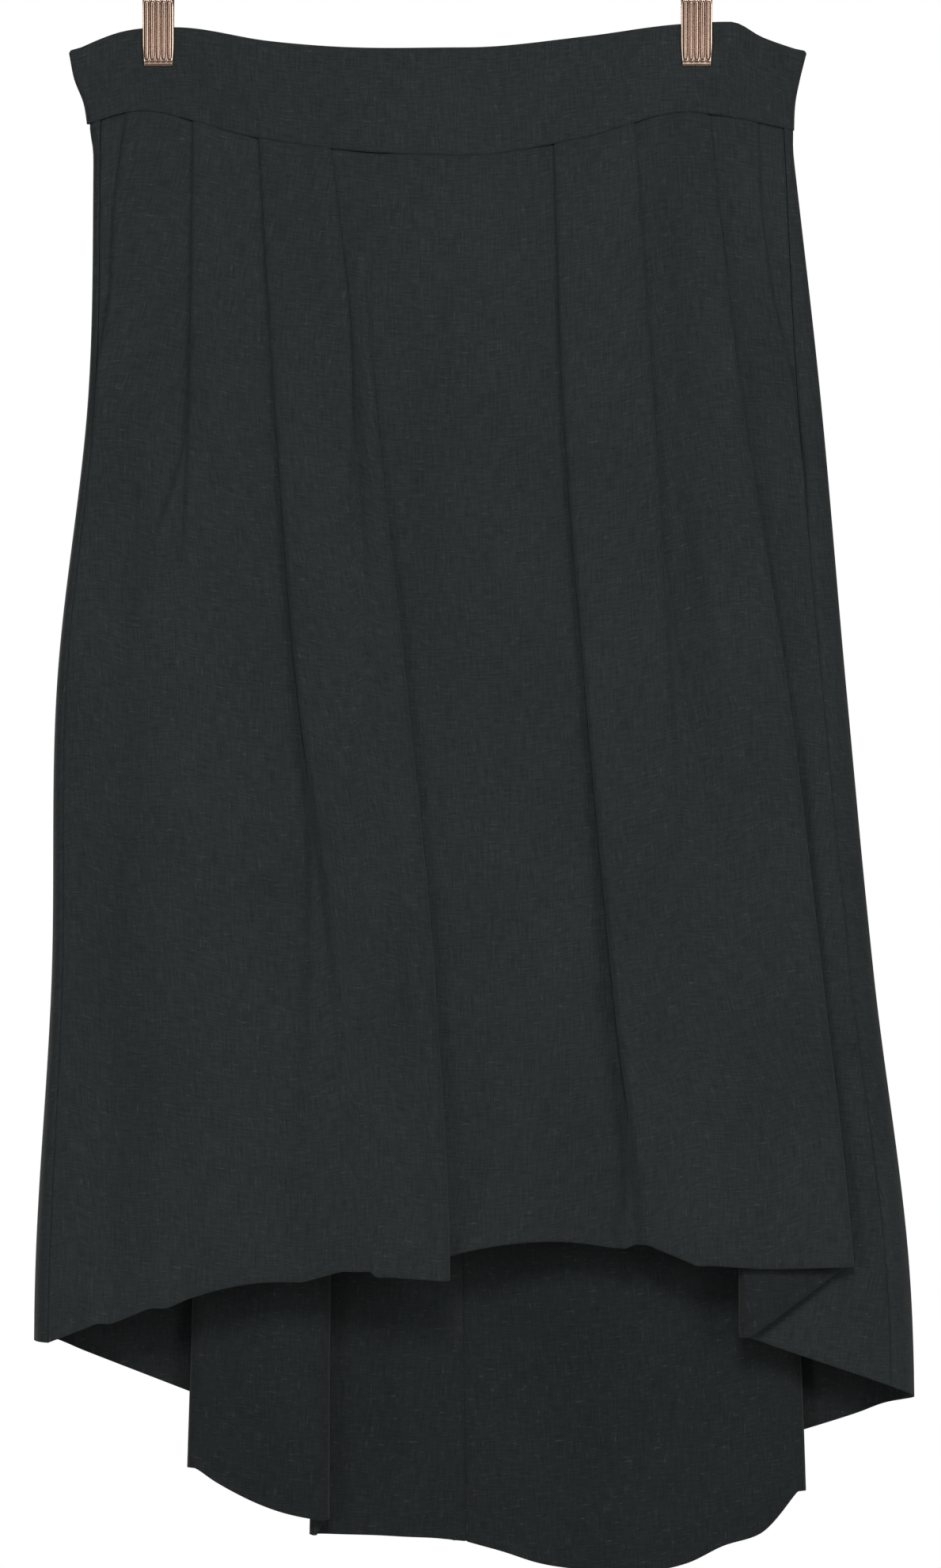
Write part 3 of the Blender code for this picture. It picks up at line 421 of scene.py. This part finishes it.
def stretch_columns(previous, following, sides, surface_y, count):
    first = 0 if previous is None else 1
    divisions = count if following is None else count + 1
    columns = []
    for step in range(first, count + 1):
        fraction = step / divisions
        place = stretch_column(previous, following, sides, surface_y, lambda d, s, e, f=fraction: f)
        columns.append(Column(place, stretch_hem(previous, following, sides, fraction)))
    return columns


def pocket_edge(mouth, seam):
    """The front's side edge: the slanted pocket mouth, then the side seam."""
    mouth_drops, mouth_x = mouth

    def x(drop):
        edge = along(mouth_drops, (*mouth_x, seam(mouth_drops[-1])), drop)
        return np.where(np.asarray(drop) < mouth_drops[-1], edge, seam(drop))

    return x


def left_seam(drop):
    return along(DROPS, LEFT_OUTLINE, drop) + along(DROPS, LEFT_TURN, drop)


def right_seam(drop):
    return along(DROPS, RIGHT_OUTLINE, drop) - along(DROPS, RIGHT_TURN, drop)


def edge_level(mouth):
    return lambda drop: ease((np.asarray(drop, float) - mouth[0][-1]) / 50)


def smooth_across(points, spacing):
    """Round curves through each row of columns, about spacing apart along the cloth."""
    chords = np.maximum(np.linalg.norm(np.diff(points, axis=0), axis=2), 1e-4)[..., None]
    ways = np.diff(points, axis=0) / chords
    slopes = np.concatenate([
        ways[:1],
        (ways[:-1] * chords[1:] + ways[1:] * chords[:-1]) / (chords[:-1] + chords[1:]),
        ways[-1:],
    ])
    fine = []
    for c in range(len(points) - 1):
        long = chords[c]
        pull_start = slopes[c] * np.minimum(long, 2 * chords[max(c - 1, 0)])
        pull_end = slopes[c + 1] * np.minimum(long, 2 * chords[min(c + 1, len(chords) - 1)])
        steps = int(np.clip(round(float(long.max()) / spacing), 2, 12))
        for t in np.arange(steps) / steps:
            row = (1 + 2 * t) * (1 - t) ** 2 * points[c] + t * (1 - t) ** 2 * pull_start
            fine.append(row + t * t * (3 - 2 * t) * points[c + 1] + t * t * (t - 1) * pull_end)
    fine.append(points[-1])
    return np.array(fine)


def cloth_mesh(name, grid, outward, wall):
    """A shell of cloth on a grid of points, columns first. outward is -1 where it faces the viewer."""
    columns, rows = grid.shape[:2]
    index = np.arange(columns * rows).reshape(columns, rows)
    quads = np.stack([index[:-1, :-1], index[:-1, 1:], index[1:, 1:], index[1:, :-1]], axis=-1).reshape(-1, 4)
    if outward > 0:
        quads = quads[:, ::-1]
    mesh = bpy.data.meshes.new(name)
    flat = grid.reshape(-1, 3) * 0.001
    mesh.from_pydata(flat.tolist(), [], quads.tolist())
    across = np.cumsum(np.linalg.norm(np.diff(grid, axis=0, prepend=grid[:1]), axis=2), axis=0)
    across = across - across[columns // 2]
    down = np.cumsum(np.linalg.norm(np.diff(grid, axis=1, prepend=grid[:, :1]), axis=2), axis=1)
    uv = np.stack([across, -down], axis=-1).reshape(-1, 2) * 0.001
    layer = mesh.uv_layers.new(name="cloth")
    loops = np.empty(len(mesh.loops), np.int32)
    mesh.loops.foreach_get("vertex_index", loops)
    layer.data.foreach_set("uv", uv[loops].astype(np.float32).ravel())
    mesh.shade_smooth()
    piece = bpy.data.objects.new(name, mesh)
    bpy.context.scene.collection.objects.link(piece)
    bpy.ops.object.select_all(action="DESELECT")
    piece.select_set(True)
    bpy.context.view_layer.objects.active = piece
    thick = piece.modifiers.new("wall", "SOLIDIFY")
    thick.thickness = wall * 0.001
    thick.offset = 0.0
    thick.use_even_offset = False
    # The inner face and the rims take the darker copy of the cloth, which is painted shade.
    thick.material_offset = 1
    thick.material_offset_rim = 1
    mesh.materials.append(charcoal)
    mesh.materials.append(charcoal_painted_shade)
    bpy.ops.object.modifier_apply(modifier="wall")
    return piece


def hang(columns, rows, hem_turn, outward, spacing=2.6):
    """The grid of a panel: its columns from the waist seam to the hem, with the edges of both turned in."""
    grid = []
    for index, (place, hem) in enumerate(columns):
        proud = outward * 0.6 * min(index / 3, (len(columns) - 1 - index) / 3, 1)
        x_top, _ = place(np.array(56.0))
        start = float(waist_seam(x_top)) + 0.1
        turned = hem - hem_turn
        drops = np.concatenate([[start, start + 0.9], np.linspace(start + 3, turned - 0.8, rows), [turned]])
        drops = np.concatenate([drops, np.linspace(turned + 1, hem - 0.8, 3), [hem]])
        x, y = place(drops)
        y = y - outward * 1.1 * np.exp(-(((drops - start) / 1.1) ** 2))
        y = y + proud * ease((drops - turned) / 1.0) - proud * ease((drops - hem + 1) / 1.0)
        grid.append(np.stack([x, y, drops], axis=-1))
    grid = smooth_across(np.array(grid), spacing)
    return np.stack([grid[..., 0], grid[..., 1], -(131 + grid[..., 2])], axis=-1)


left_edge = pocket_edge(LEFT_MOUTH, left_seam)
right_edge = pocket_edge(RIGHT_MOUTH, right_seam)
front_sides = (
    Side(left_edge, edge_level(LEFT_MOUTH), LEFT_SEAM_HEM),
    Side(right_edge, edge_level(RIGHT_MOUTH), RIGHT_SEAM_HEM),
)
front_neighbours = (None, *FRONT_PLEATS, None)
front_columns = []
for previous, following, count in zip(front_neighbours, front_neighbours[1:], (5, 4, 3, 2, 6, 4, 4, 5)):
    front_columns += stretch_columns(previous, following, front_sides, front_y, count)
    if following is not None:
        front_columns += fold_columns(following, front_y)
front = cloth_mesh("front_cloth", hang(front_columns, 130, FRONT_HEM_TURN, -1), -1, CLOTH)
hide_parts("front_panel")
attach(front, "skirt")

# Pocket facings
# The hip pieces that show behind the pocket mouths. They are cut from the same cloth and run from under the
# front to the side seam.
for name, side, edge, seam, mouth, cut, area in (
    ("pocket_facing_left", -1, left_edge, left_seam, LEFT_MOUTH, (0.030, 0.155), 0.0026),
    ("pocket_facing_right", 1, right_edge, right_seam, RIGHT_MOUTH, (0.031, 0.200), 0.0038),
):
    facing_columns = []
    for fraction in np.linspace(0, 1, 7):

        def facing_place(drop, fraction=fraction):
            hidden = edge(drop) - side * 11
            x = hidden + (seam(drop) - side * 0.2 - hidden) * fraction
            return x, front_y(x, drop, 1.0)

        facing_columns.append(Column(facing_place, mouth[0][-1] + 8))
    if side < 0:
        facing_columns = facing_columns[::-1]
    facing = cloth_mesh(name + "_cloth", hang(facing_columns, 40, 4, -1), -1, CLOTH)
    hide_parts(name)
    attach(facing, "skirt")

# Back panels
# Two flared backs, longer than the front, meet at the centre-back seam under the zip. They wrap round the
# sides to the side seams. Their folds stand inwards, and their hem is turned up deeper than the front's.
BACK_DEPTH = (5.5, 9, 15, 22, 28, 32)
BACK_CROWN = (0, 2, 4, 6, 8, 9)
CENTRE_BACK_X = (6, 8, 12, 16, 19, 21)
BACK_HEM_TURN = 12.0
CENTRE_HEM_SHARE = 0.26
BACK_HEM_SHARES = (0, 0.26, 0.45, 0.6, 0.72, 0.82, 0.94, 1)
BACK_HEM_DROPS = (824, 828, 841, 842.5, 841, 830, 818, 801)
BACK_PLEATS = (
    Pleat("back_left_outer", -1, (-105, -110, -118, -123, -127.7, -133),
          (-25, -25, -10, 15, 30, 40), 25, 2, 786.5, 758, 5),
    Pleat("back_left_inner", 1, (-40, -42, -45, -49, -53, -54),
          (-12, -12, -6, 3, 8, 11), 12, 2, 815, 824, 26),
    Pleat("back_right", 1, (120, 135, 160, 185, 201, 208),
          (-25, -25, -8, 15, 32, 41), 25, 2, 799, 778, 0),
)
BACK_VALLEYS = (
    Valley("back_hip_left", (-80, -80, -78, -76, -76, -76), (0, 3, 5, 3, 4, 5), 18),
    Valley("back_middle", (-12, -12, -11, -10, -9.5, -9.5), (0, 0, 2, 4, 5, 6), 16),
    Valley("back_hip_right", (80, 84, 90, 98, 105, 108), (0, 3, 5, 6, 6, 7), 26),
    Valley("back_side_right", (150, 160, 195, 215, 228, 230), (0, 2, 4, 5, 6, 6), 16),
)
BACK_CREASES = (
    Crease("ridge_back_left", (140, 260, 420, 600, 760), (-58, -60, -64, -66, -66), 1.0, 9),
    Crease("ridge_back_centre", (160, 300, 480, 640, 800), (44, 48, 54, 60, 62), 1.1, 12),
    Crease("trough_back_right", (120, 260, 420, 600, 740), (120, 128, 140, 150, 156), -1.0, 10),
    Crease("ridge_back_right", (300, 440, 560, 700), (176, 190, 200, 206), 1.0, 9),
    Crease("slot_back_left", (640, 720, 800), (-50, -50, -50), 2.6, 4),
    Crease("curl_centre_back", (730, 765, 795, 830), (24, 28, 32, 38), -2.4, 5),
    Crease("hollow_centre_back", (690, 740, 790, 830), (13, 15, 19, 26), 2.2, 6),
    Crease("wave_hem_left", (780, 815), (-90, -92), -1.8, 12),
    Crease("wave_hem_middle", (790, 830), (-2, 0), 1.6, 16),
)


def back_y(x, drop, level):
    """Depth of the back: level 2 is the outer face and 0 the innermost fold."""
    across = np.clip(1 - ((x - 25) / 225) ** 2, 0, 1)
    base = along(DROPS, BACK_DEPTH, drop) + along(DROPS, BACK_CROWN, drop) * across
    base = base + relief(BACK_CREASES, x, drop) + rumple(x, drop, 1.9) * ease((drop - 70) / 60)
    return base - along(DROPS, LAYER_PITCH, drop) * (2 - level) - valleys(BACK_VALLEYS, x, drop)


def side_turn(side, seam, turn, angle):
    """A column where a back panel wraps round the side, from the front's seam to the back."""

    def place(drop):
        middle = seam(drop)
        near = front_y(middle, drop, 1.0)
        far = back_y(middle, drop, 2.0)
        reach = along(DROPS, turn, drop) - 0.6 + (2.2 if side < 0 else 1.4) * np.exp(-(((drop - 56) / 9) ** 2))
        x = middle + side * np.maximum(reach * math.cos(angle), 0.1)
        return x, (near + far) / 2 + (far - near) / 2 * math.sin(angle)

    return place


def turn_columns(side, seam, turn, hems):
    columns = []
    for degrees in (-90, -65, -45, -28, -8, 15, 35, 55):
        hem = np.interp(degrees, (-90, 0, 90), hems)
        columns.append(Column(side_turn(side, seam, turn, math.radians(degrees)), hem))
    return columns


def centre_share(side, fraction):
    """Fraction of the way along the stretch that holds the centre-back seam, on one side of it."""

    def share(drop, start, end):
        seam = (along(DROPS, CENTRE_BACK_X, drop) + side * 0.05 - start) / (end - start)
        return seam * fraction if side < 0 else seam + (1 - seam) * fraction

    return share


def allowance_column(side, width, depth):
    """A column of the seam allowance, pressed open on the inside of the centre-back seam."""

    def place(drop):
        x = along(DROPS, CENTRE_BACK_X, drop) + side * (0.45 + width * (1 + 0.12 * np.sin(drop / 23 + side)))
        return x, back_y(x, drop, 2.0) - depth

    return place


back_sides = (
    Side(left_seam, lambda drop: 2.0 + 0 * drop, 716.0),
    Side(right_seam, lambda drop: 2.0 + 0 * drop, 751.0),
)
outer, inner, right = BACK_PLEATS
left_back = turn_columns(-1, left_seam, LEFT_TURN, (LEFT_SEAM_HEM, 715.0, 716.0))
left_back += stretch_columns(None, outer, back_sides, back_y, 5)
left_back += fold_columns(outer, back_y) + stretch_columns(outer, inner, back_sides, back_y, 5)
left_back += fold_columns(inner, back_y)
right_back = []
for side, part, fractions in ((-1, left_back, (0.2, 0.4, 0.6, 0.8, 1.0)), (1, right_back, np.linspace(0, 0.88, 9))):
    for fraction in fractions:
        place = stretch_column(inner, right, back_sides, back_y, centre_share(side, fraction))
        along_hem = CENTRE_HEM_SHARE * fraction
        if side > 0:
            along_hem = CENTRE_HEM_SHARE + (1 - CENTRE_HEM_SHARE) * fraction
        part.append(Column(place, float(along(BACK_HEM_SHARES, BACK_HEM_DROPS, along_hem))))
for width, depth in ((0.0, 1.0), (3.0, 1.15), (7.0, 1.1)):
    left_back.append(Column(allowance_column(-1, width, depth), left_back[-1].hem))
    right_back.insert(0, Column(allowance_column(1, width, depth), right_back[0].hem))
right_back += fold_columns(right, back_y) + stretch_columns(right, None, back_sides, back_y, 5)
right_back += turn_columns(1, right_seam, RIGHT_TURN, (RIGHT_SEAM_HEM, 746.5, 751.0))[::-1]
for name, part, cut, area in (
    ("back_panel_left", left_back, (0.43, 0.77), 0.201),
    ("back_panel_right", right_back, (0.42, 0.79), 0.214),
):
    back = cloth_mesh(name + "_cloth", hang(part, 140, BACK_HEM_TURN, 1), 1, CLOTH)
    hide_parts(name)
    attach(back, "skirt")

# Waistband
# A shaped band of doubled cloth, cut in one piece for the front and two for the back. Its edges are turned
# in and pressed. The clips grip it, so its top edge dips between them and its ends flare out.
BAND_CLOTH = 1.3
BAND_X = (-195, -163, -135, -86, -43, 20, 86, 129, 161, 180, 206)
BAND_TOP_DROP = (16, 4.3, 2.1, 9.5, 12.9, 13, 6.9, 0.9, -0.9, 7.5, 16)
BAND_SIDE_DROPS = (16, 30, 43, 60)
BAND_LEFT_X = (-194.8, -192, -187, -184.4)
BAND_RIGHT_X = (206, 202.5, 200.0, 199.2)
BAND_CREASES = (
    Crease("below_left_clip", (22, 26, 31, 35), (-157, -160, -164, -167), -0.7, 3),
    Crease("left_of_centre", (30, 40, 50, 60), (-96, -100, -104, -108), 0.5, 10),
    Crease("right_of_centre", (26, 36, 46, 56), (70, 74, 78, 80), 0.5, 12),
    Crease("below_right_clip", (26, 34, 40, 46), (138, 134, 131, 129), -0.5, 5),
)


def band_depth(drop, x):
    t = ease((drop - 26) / (waist_seam(x) - 26))
    return 1.2 + (BACK_DEPTH[0] - 1.2) * t


def band_column(t, front_side, angle=None, least=0.0):
    """Points down one column of a band, at the fraction t from its left edge to its right."""
    side = -1 if t < 0.5 else 1
    inset = 0.0 if angle is None else BAND_CLOTH / 2 + 3.0 * (1 - math.cos(angle))
    top_x = BAND_LEFT_X[0] + (BAND_RIGHT_X[0] - BAND_LEFT_X[0]) * t - side * inset
    bottom_x = BAND_LEFT_X[-1] + (BAND_RIGHT_X[-1] - BAND_LEFT_X[-1]) * t - side * inset
    top = along(BAND_X, BAND_TOP_DROP, top_x) + (0 if front_side else 1.5)
    bottom = waist_seam(bottom_x) + 0.2
    shares = np.concatenate([[0, 0.012], np.linspace(0.04, 0.95, 22), [0.98, 1]])
    drops = top + (bottom - top) * shares
    left = along(BAND_SIDE_DROPS, BAND_LEFT_X, drops)
    right_x = along(BAND_SIDE_DROPS, BAND_RIGHT_X, drops)
    x = left + (right_x - left) * t
    half = band_depth(drops, x) + 0.25 * ease((drops - 30) / 10)
    out = relief(BAND_CREASES, x, drops) + 0.5 * rumple(x, 3 * drops, 0.9)
    out = out * ease((shares - 0.1) / 0.2) * ease((0.95 - shares) / 0.15)
    half = half + np.maximum(out, -0.6) * ease((half - 1.25) / 0.5)
    half = half - 1.0 * ease((shares - 0.955) / 0.045) - 0.25 * ease((0.02 - shares) / 0.02)
    sign = -1 if front_side else 1
    if angle is not None:
        turn = np.minimum(half, 3.0)
        x = x - side * (BAND_CLOTH / 2 + turn * (1 - math.cos(angle)))
        half = np.maximum(half * math.sin(angle), least)
    return np.stack([x, sign * half, -(131 + drops)], axis=-1)


band_middle = (CENTRE_BACK_X[0] - BAND_LEFT_X[0]) / (BAND_RIGHT_X[0] - BAND_LEFT_X[0])
band_turn = [(math.radians(a), least) for a, least in ((0, 0.15), (0, 0.5), (25, 0), (50, 0), (70, 0), (90, 0))]
for name, front_side, start, end, cut, area, clips in (
    ("waistband_front", True, 0, 1, (0.41, 0.060), 0.0208, ["clip_left_front_jaw", "clip_right_front_jaw"]),
    ("waistband_back_left", False, 0, band_middle - 0.0001, (0.206, 0.058), 0.0101, ["clip_left_back_jaw"]),
    ("waistband_back_right", False, band_middle + 0.0001, 1, (0.206, 0.058), 0.0101, ["clip_right_back_jaw"]),
):
    band_columns = [band_column(t, front_side) for t in np.linspace(start, end, 110) if 0.015 < t < 0.985]
    if start == 0:
        band_columns = [band_column(0.0, front_side, *step) for step in band_turn] + band_columns
    if end == 1:
        band_columns += [band_column(1.0, front_side, *step) for step in band_turn[::-1]]
    band = cloth_mesh(name + "_cloth", np.array(band_columns), -1 if front_side else 1, BAND_CLOTH)
    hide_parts(name)
    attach(band, "skirt")

# Hanger and clips
# A usual clip hanger: a hook and bar of plated steel wire, and pressed steel jaws with flutes, which a
# spring on the bar holds shut on the band.
plated_steel_painted_reflection = bpy.data.materials.new("plated_steel_painted_reflection")
plated_steel_painted_reflection.use_nodes = True
steel_tree = plated_steel_painted_reflection.node_tree
steel_shader = steel_tree.nodes["Principled BSDF"]
steel_place = add_node(steel_tree, "ShaderNodeTexCoord").outputs["Object"]
steel_noise = add_node(steel_tree, "ShaderNodeTexNoise", {"Scale": 220.0, "Detail": 3.0}, {"Vector": steel_place})
steel_rough = add_node(
    steel_tree, "ShaderNodeMapRange", {"To Min": 0.14, "To Max": 0.2}, {"Value": steel_noise.outputs["Fac"]}
)
steel_tree.links.new(steel_rough.outputs[0], steel_shader.inputs["Roughness"])
# The brown tint of the steel's colour is a painted reflection of a brown room; the plated steel itself is grey.
steel_shader.inputs["Base Color"].default_value = linear("957f71")
steel_shader.inputs["Metallic"].default_value = 1.0
for node in ("hanger_hook", "hanger_bar"):
    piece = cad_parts[node]
    piece.data.materials.clear()
    piece.data.materials.append(plated_steel_painted_reflection)

# Clip jaws
# Each jaw is pressed from steel strip and plated. Five flutes with round ends stiffen its face, its lip is
# smooth where it grips the band, and two ears hang it on the bar.
JAW_WIDTH = 17.0
JAW_WALL = 0.9
JAW_FACE = 2.8
BAR_DROP = -26.0
JAW_PROFILE = ((23.2, 0.0), (21.6, 0.0), (14, 0.1), (6, 0.3), (-3, 0.9), (-10, 2.1), (-18, 4.4), (-26, 6.6),
               (-33, 8.5), (-40, 11.5))
FLUTE_PITCH = 3.1
FLUTE_WIDTH = 2.1
FLUTE_FROM, FLUTE_TO = -12.0, 20.6
EAR_SIZE = (0.9, 13.4, 7.5)
EAR_MIDDLE = 3.1
EAR_INSETS = {-1: 1.0, 1: 2.4}


def select_parts(piece, kind, wanted):
    """Selects the faces or edges of the piece in edit mode whose middles pass the test."""
    bpy.ops.object.mode_set(mode="OBJECT")
    mesh = piece.data
    for group in (mesh.vertices, mesh.edges, mesh.polygons):
        group.foreach_set("select", [False] * len(group))
    for part in getattr(mesh, kind):
        middle = sum((mesh.vertices[v].co for v in part.vertices), start=mesh.vertices[0].co * 0) / len(part.vertices)
        part.select = bool(wanted(middle * 1000))
        if part.select:
            for v in part.vertices:
                mesh.vertices[v].select = True
    bpy.ops.object.mode_set(mode="EDIT")


def apply_step(piece, kind, **settings):
    """A modifier with its settings, applied at once."""
    step = piece.modifiers.new(kind.lower(), kind)
    for key, value in settings.items():
        setattr(step, key, value)
    bpy.ops.object.select_all(action="DESELECT")
    piece.select_set(True)
    bpy.context.view_layer.objects.active = piece
    bpy.ops.object.modifier_apply(modifier=step.name)


def pressed_jaw(name, x_centre, side):
    """One jaw: a strip extruded up its side view, its flutes inset and pushed out, and its ears joined on."""
    (drop, away), (next_drop, next_away) = JAW_PROFILE[:2]
    bpy.ops.object.select_all(action="DESELECT")
    middle = (x_centre, side * (JAW_FACE + away), -(131 + (drop + next_drop) / 2))
    bpy.ops.mesh.primitive_plane_add(
        size=0.001, location=[c * 0.001 for c in middle], rotation=(math.pi / 2, 0, 0 if side < 0 else math.pi)
    )
    jaw = bpy.context.object
    jaw.name = name
    jaw.scale = (JAW_WIDTH - 1.6, drop - next_drop, 1)
    bpy.ops.object.transform_apply(location=True, rotation=True, scale=True)
    bpy.ops.object.mode_set(mode="EDIT")
    bpy.ops.mesh.select_mode(type="EDGE")
    for (drop, away), (next_drop, next_away) in zip(JAW_PROFILE[1:], JAW_PROFILE[2:]):
        top = -(131 + drop)
        select_parts(jaw, "edges", lambda m, top=top: abs(m.z - top) < 0.01)
        widen = 1 + 1.6 / (JAW_WIDTH - 1.6) if drop > 20 else 1.0
        move = (0, side * (next_away - away) * 0.001, (drop - next_drop) * 0.001)
        bpy.ops.mesh.extrude_region_move(TRANSFORM_OT_translate={"value": move})
        bpy.ops.transform.resize(value=(widen, 1, 1), center_override=(x_centre * 0.001, 0, 0))
    edges = [x_centre + FLUTE_PITCH * i + end * FLUTE_WIDTH / 2 for i in range(-2, 3) for end in (-1, 1)]
    for x in edges:
        bpy.ops.mesh.select_all(action="SELECT")
        bpy.ops.mesh.bisect(plane_co=(x * 0.001, 0, 0), plane_no=(1, 0, 0))
    for drop in (FLUTE_FROM, FLUTE_TO):
        bpy.ops.mesh.select_all(action="SELECT")
        bpy.ops.mesh.bisect(plane_co=(0, 0, -(131 + drop) * 0.001), plane_no=(0, 0, 1))
    bpy.ops.mesh.select_mode(type="FACE")

    def on_flute(m):
        drop = -m.z - 131
        nearest = x_centre + FLUTE_PITCH * round((m.x - x_centre) / FLUTE_PITCH)
        return FLUTE_FROM < drop < FLUTE_TO and abs(m.x - nearest) < FLUTE_WIDTH / 2 and abs(nearest - x_centre) < 7

    select_parts(jaw, "polygons", on_flute)
    bpy.ops.mesh.inset(thickness=0.00045, depth=0.0)
    bpy.ops.transform.translate(value=(0, side * 0.0011, 0))
    bpy.ops.mesh.select_all(action="SELECT")
    bpy.ops.mesh.normals_make_consistent(inside=False)
    bpy.ops.object.mode_set(mode="OBJECT")
    apply_step(jaw, "SOLIDIFY", thickness=JAW_WALL * 0.001, offset=0.0)
    apply_step(jaw, "SUBSURF", levels=2, render_levels=2)
    for ear_side in (-1, 1):
        x = x_centre + ear_side * (JAW_WIDTH / 2 - EAR_INSETS[side])
        place = (x * 0.001, side * EAR_MIDDLE * 0.001, -(131 + BAR_DROP) * 0.001)
        bpy.ops.object.select_all(action="DESELECT")
        bpy.ops.mesh.primitive_cube_add(size=0.001, location=place)
        ear = bpy.context.object
        ear.scale = EAR_SIZE
        bpy.ops.object.transform_apply(location=True, rotation=True, scale=True)
        bpy.ops.object.select_all(action="DESELECT")
        bpy.ops.mesh.primitive_cylinder_add(
            vertices=32, radius=0.0023, depth=0.01, location=(place[0], 0, place[2]), rotation=(0, math.pi / 2, 0)
        )
        bore = bpy.context.object
        bpy.ops.object.transform_apply(location=True, rotation=True, scale=True)
        apply_step(ear, "BOOLEAN", operation="DIFFERENCE", object=bore, solver="EXACT")
        bpy.data.objects.remove(bore)
        apply_step(ear, "BEVEL", width=0.00025, segments=2, limit_method="ANGLE")
        bpy.ops.object.select_all(action="DESELECT")
        ear.select_set(True)
        jaw.select_set(True)
        bpy.context.view_layer.objects.active = jaw
        bpy.ops.object.join()
    bpy.ops.object.shade_smooth_by_angle(angle=math.radians(40))
    return jaw


for clip, x_centre in (("clip_left", -146.2), ("clip_right", 146.2)):
    for end, side in (("front", -1), ("back", 1)):
        jaw = pressed_jaw(f"{clip}_{end}_jaw", x_centre, side)
        jaw.data.materials.append(plated_steel_painted_reflection)
        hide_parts(f"{clip}_{end}")
        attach(jaw, "skirt")

# Clip springs
# A coil of spring wire sits on the bar between each pair of ears and holds the jaws shut.
COIL_RADIUS = 2.9
COIL_WIRE = 0.5
COIL_TURNS = 6
COIL_LENGTH = 6.8
for clip, x_centre in (("clip_left", -146.2), ("clip_right", 146.2)):
    coil = bpy.data.curves.new(clip + "_coil", "CURVE")
    coil.dimensions = "3D"
    coil.bevel_depth = COIL_WIRE * 0.001
    coil.bevel_resolution = 3
    coil.use_fill_caps = True
    turns = np.linspace(0, COIL_TURNS, COIL_TURNS * 24 + 1)
    line = coil.splines.new("POLY")
    line.points.add(len(turns) - 1)
    for point, turn in zip(line.points, turns):
        x = x_centre + COIL_LENGTH * (turn / COIL_TURNS - 0.5)
        angle = 2 * math.pi * turn
        z = -(131 + BAR_DROP) + COIL_RADIUS * math.sin(angle)
        point.co = (x * 0.001, COIL_RADIUS * math.cos(angle) * 0.001, z * 0.001, 1)
    spring = bpy.data.objects.new(clip + "_coil", coil)
    bpy.context.scene.collection.objects.link(spring)
    bpy.ops.object.select_all(action="DESELECT")
    spring.select_set(True)
    bpy.context.view_layer.objects.active = spring
    bpy.ops.object.convert(target="MESH")
    bpy.ops.object.mode_set(mode="EDIT")
    bpy.ops.mesh.select_all(action="SELECT")
    bpy.ops.mesh.remove_doubles(threshold=0.00001)
    bpy.ops.mesh.normals_make_consistent(inside=False)
    bpy.ops.object.mode_set(mode="OBJECT")
    spring.data.materials.clear()
    spring.data.materials.append(plated_steel_painted_reflection)
    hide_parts(clip + "_spring")
    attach(spring, "skirt")

# Zip slider and pull
# The slider of the concealed zip sits at the top of the centre back, with its tab hanging from the pin.
dark_metal = bpy.data.materials.new("dark_zip_metal")
dark_metal.use_nodes = True
zip_tree = dark_metal.node_tree
zip_shader = zip_tree.nodes["Principled BSDF"]
zip_place = add_node(zip_tree, "ShaderNodeTexCoord").outputs["Object"]
zip_noise = add_node(zip_tree, "ShaderNodeTexNoise", {"Scale": 400.0}, {"Vector": zip_place})
zip_rough = add_node(
    zip_tree, "ShaderNodeMapRange", {"To Min": 0.3, "To Max": 0.5}, {"Value": zip_noise.outputs["Fac"]}
)
zip_tree.links.new(zip_rough.outputs[0], zip_shader.inputs["Roughness"])
zip_shader.inputs["Base Color"].default_value = linear("35383a")
zip_shader.inputs["Metallic"].default_value = 0.9
for node in ("zip_slider", "zip_pull"):
    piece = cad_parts[node]
    piece.data.materials.clear()
    piece.data.materials.append(dark_metal)
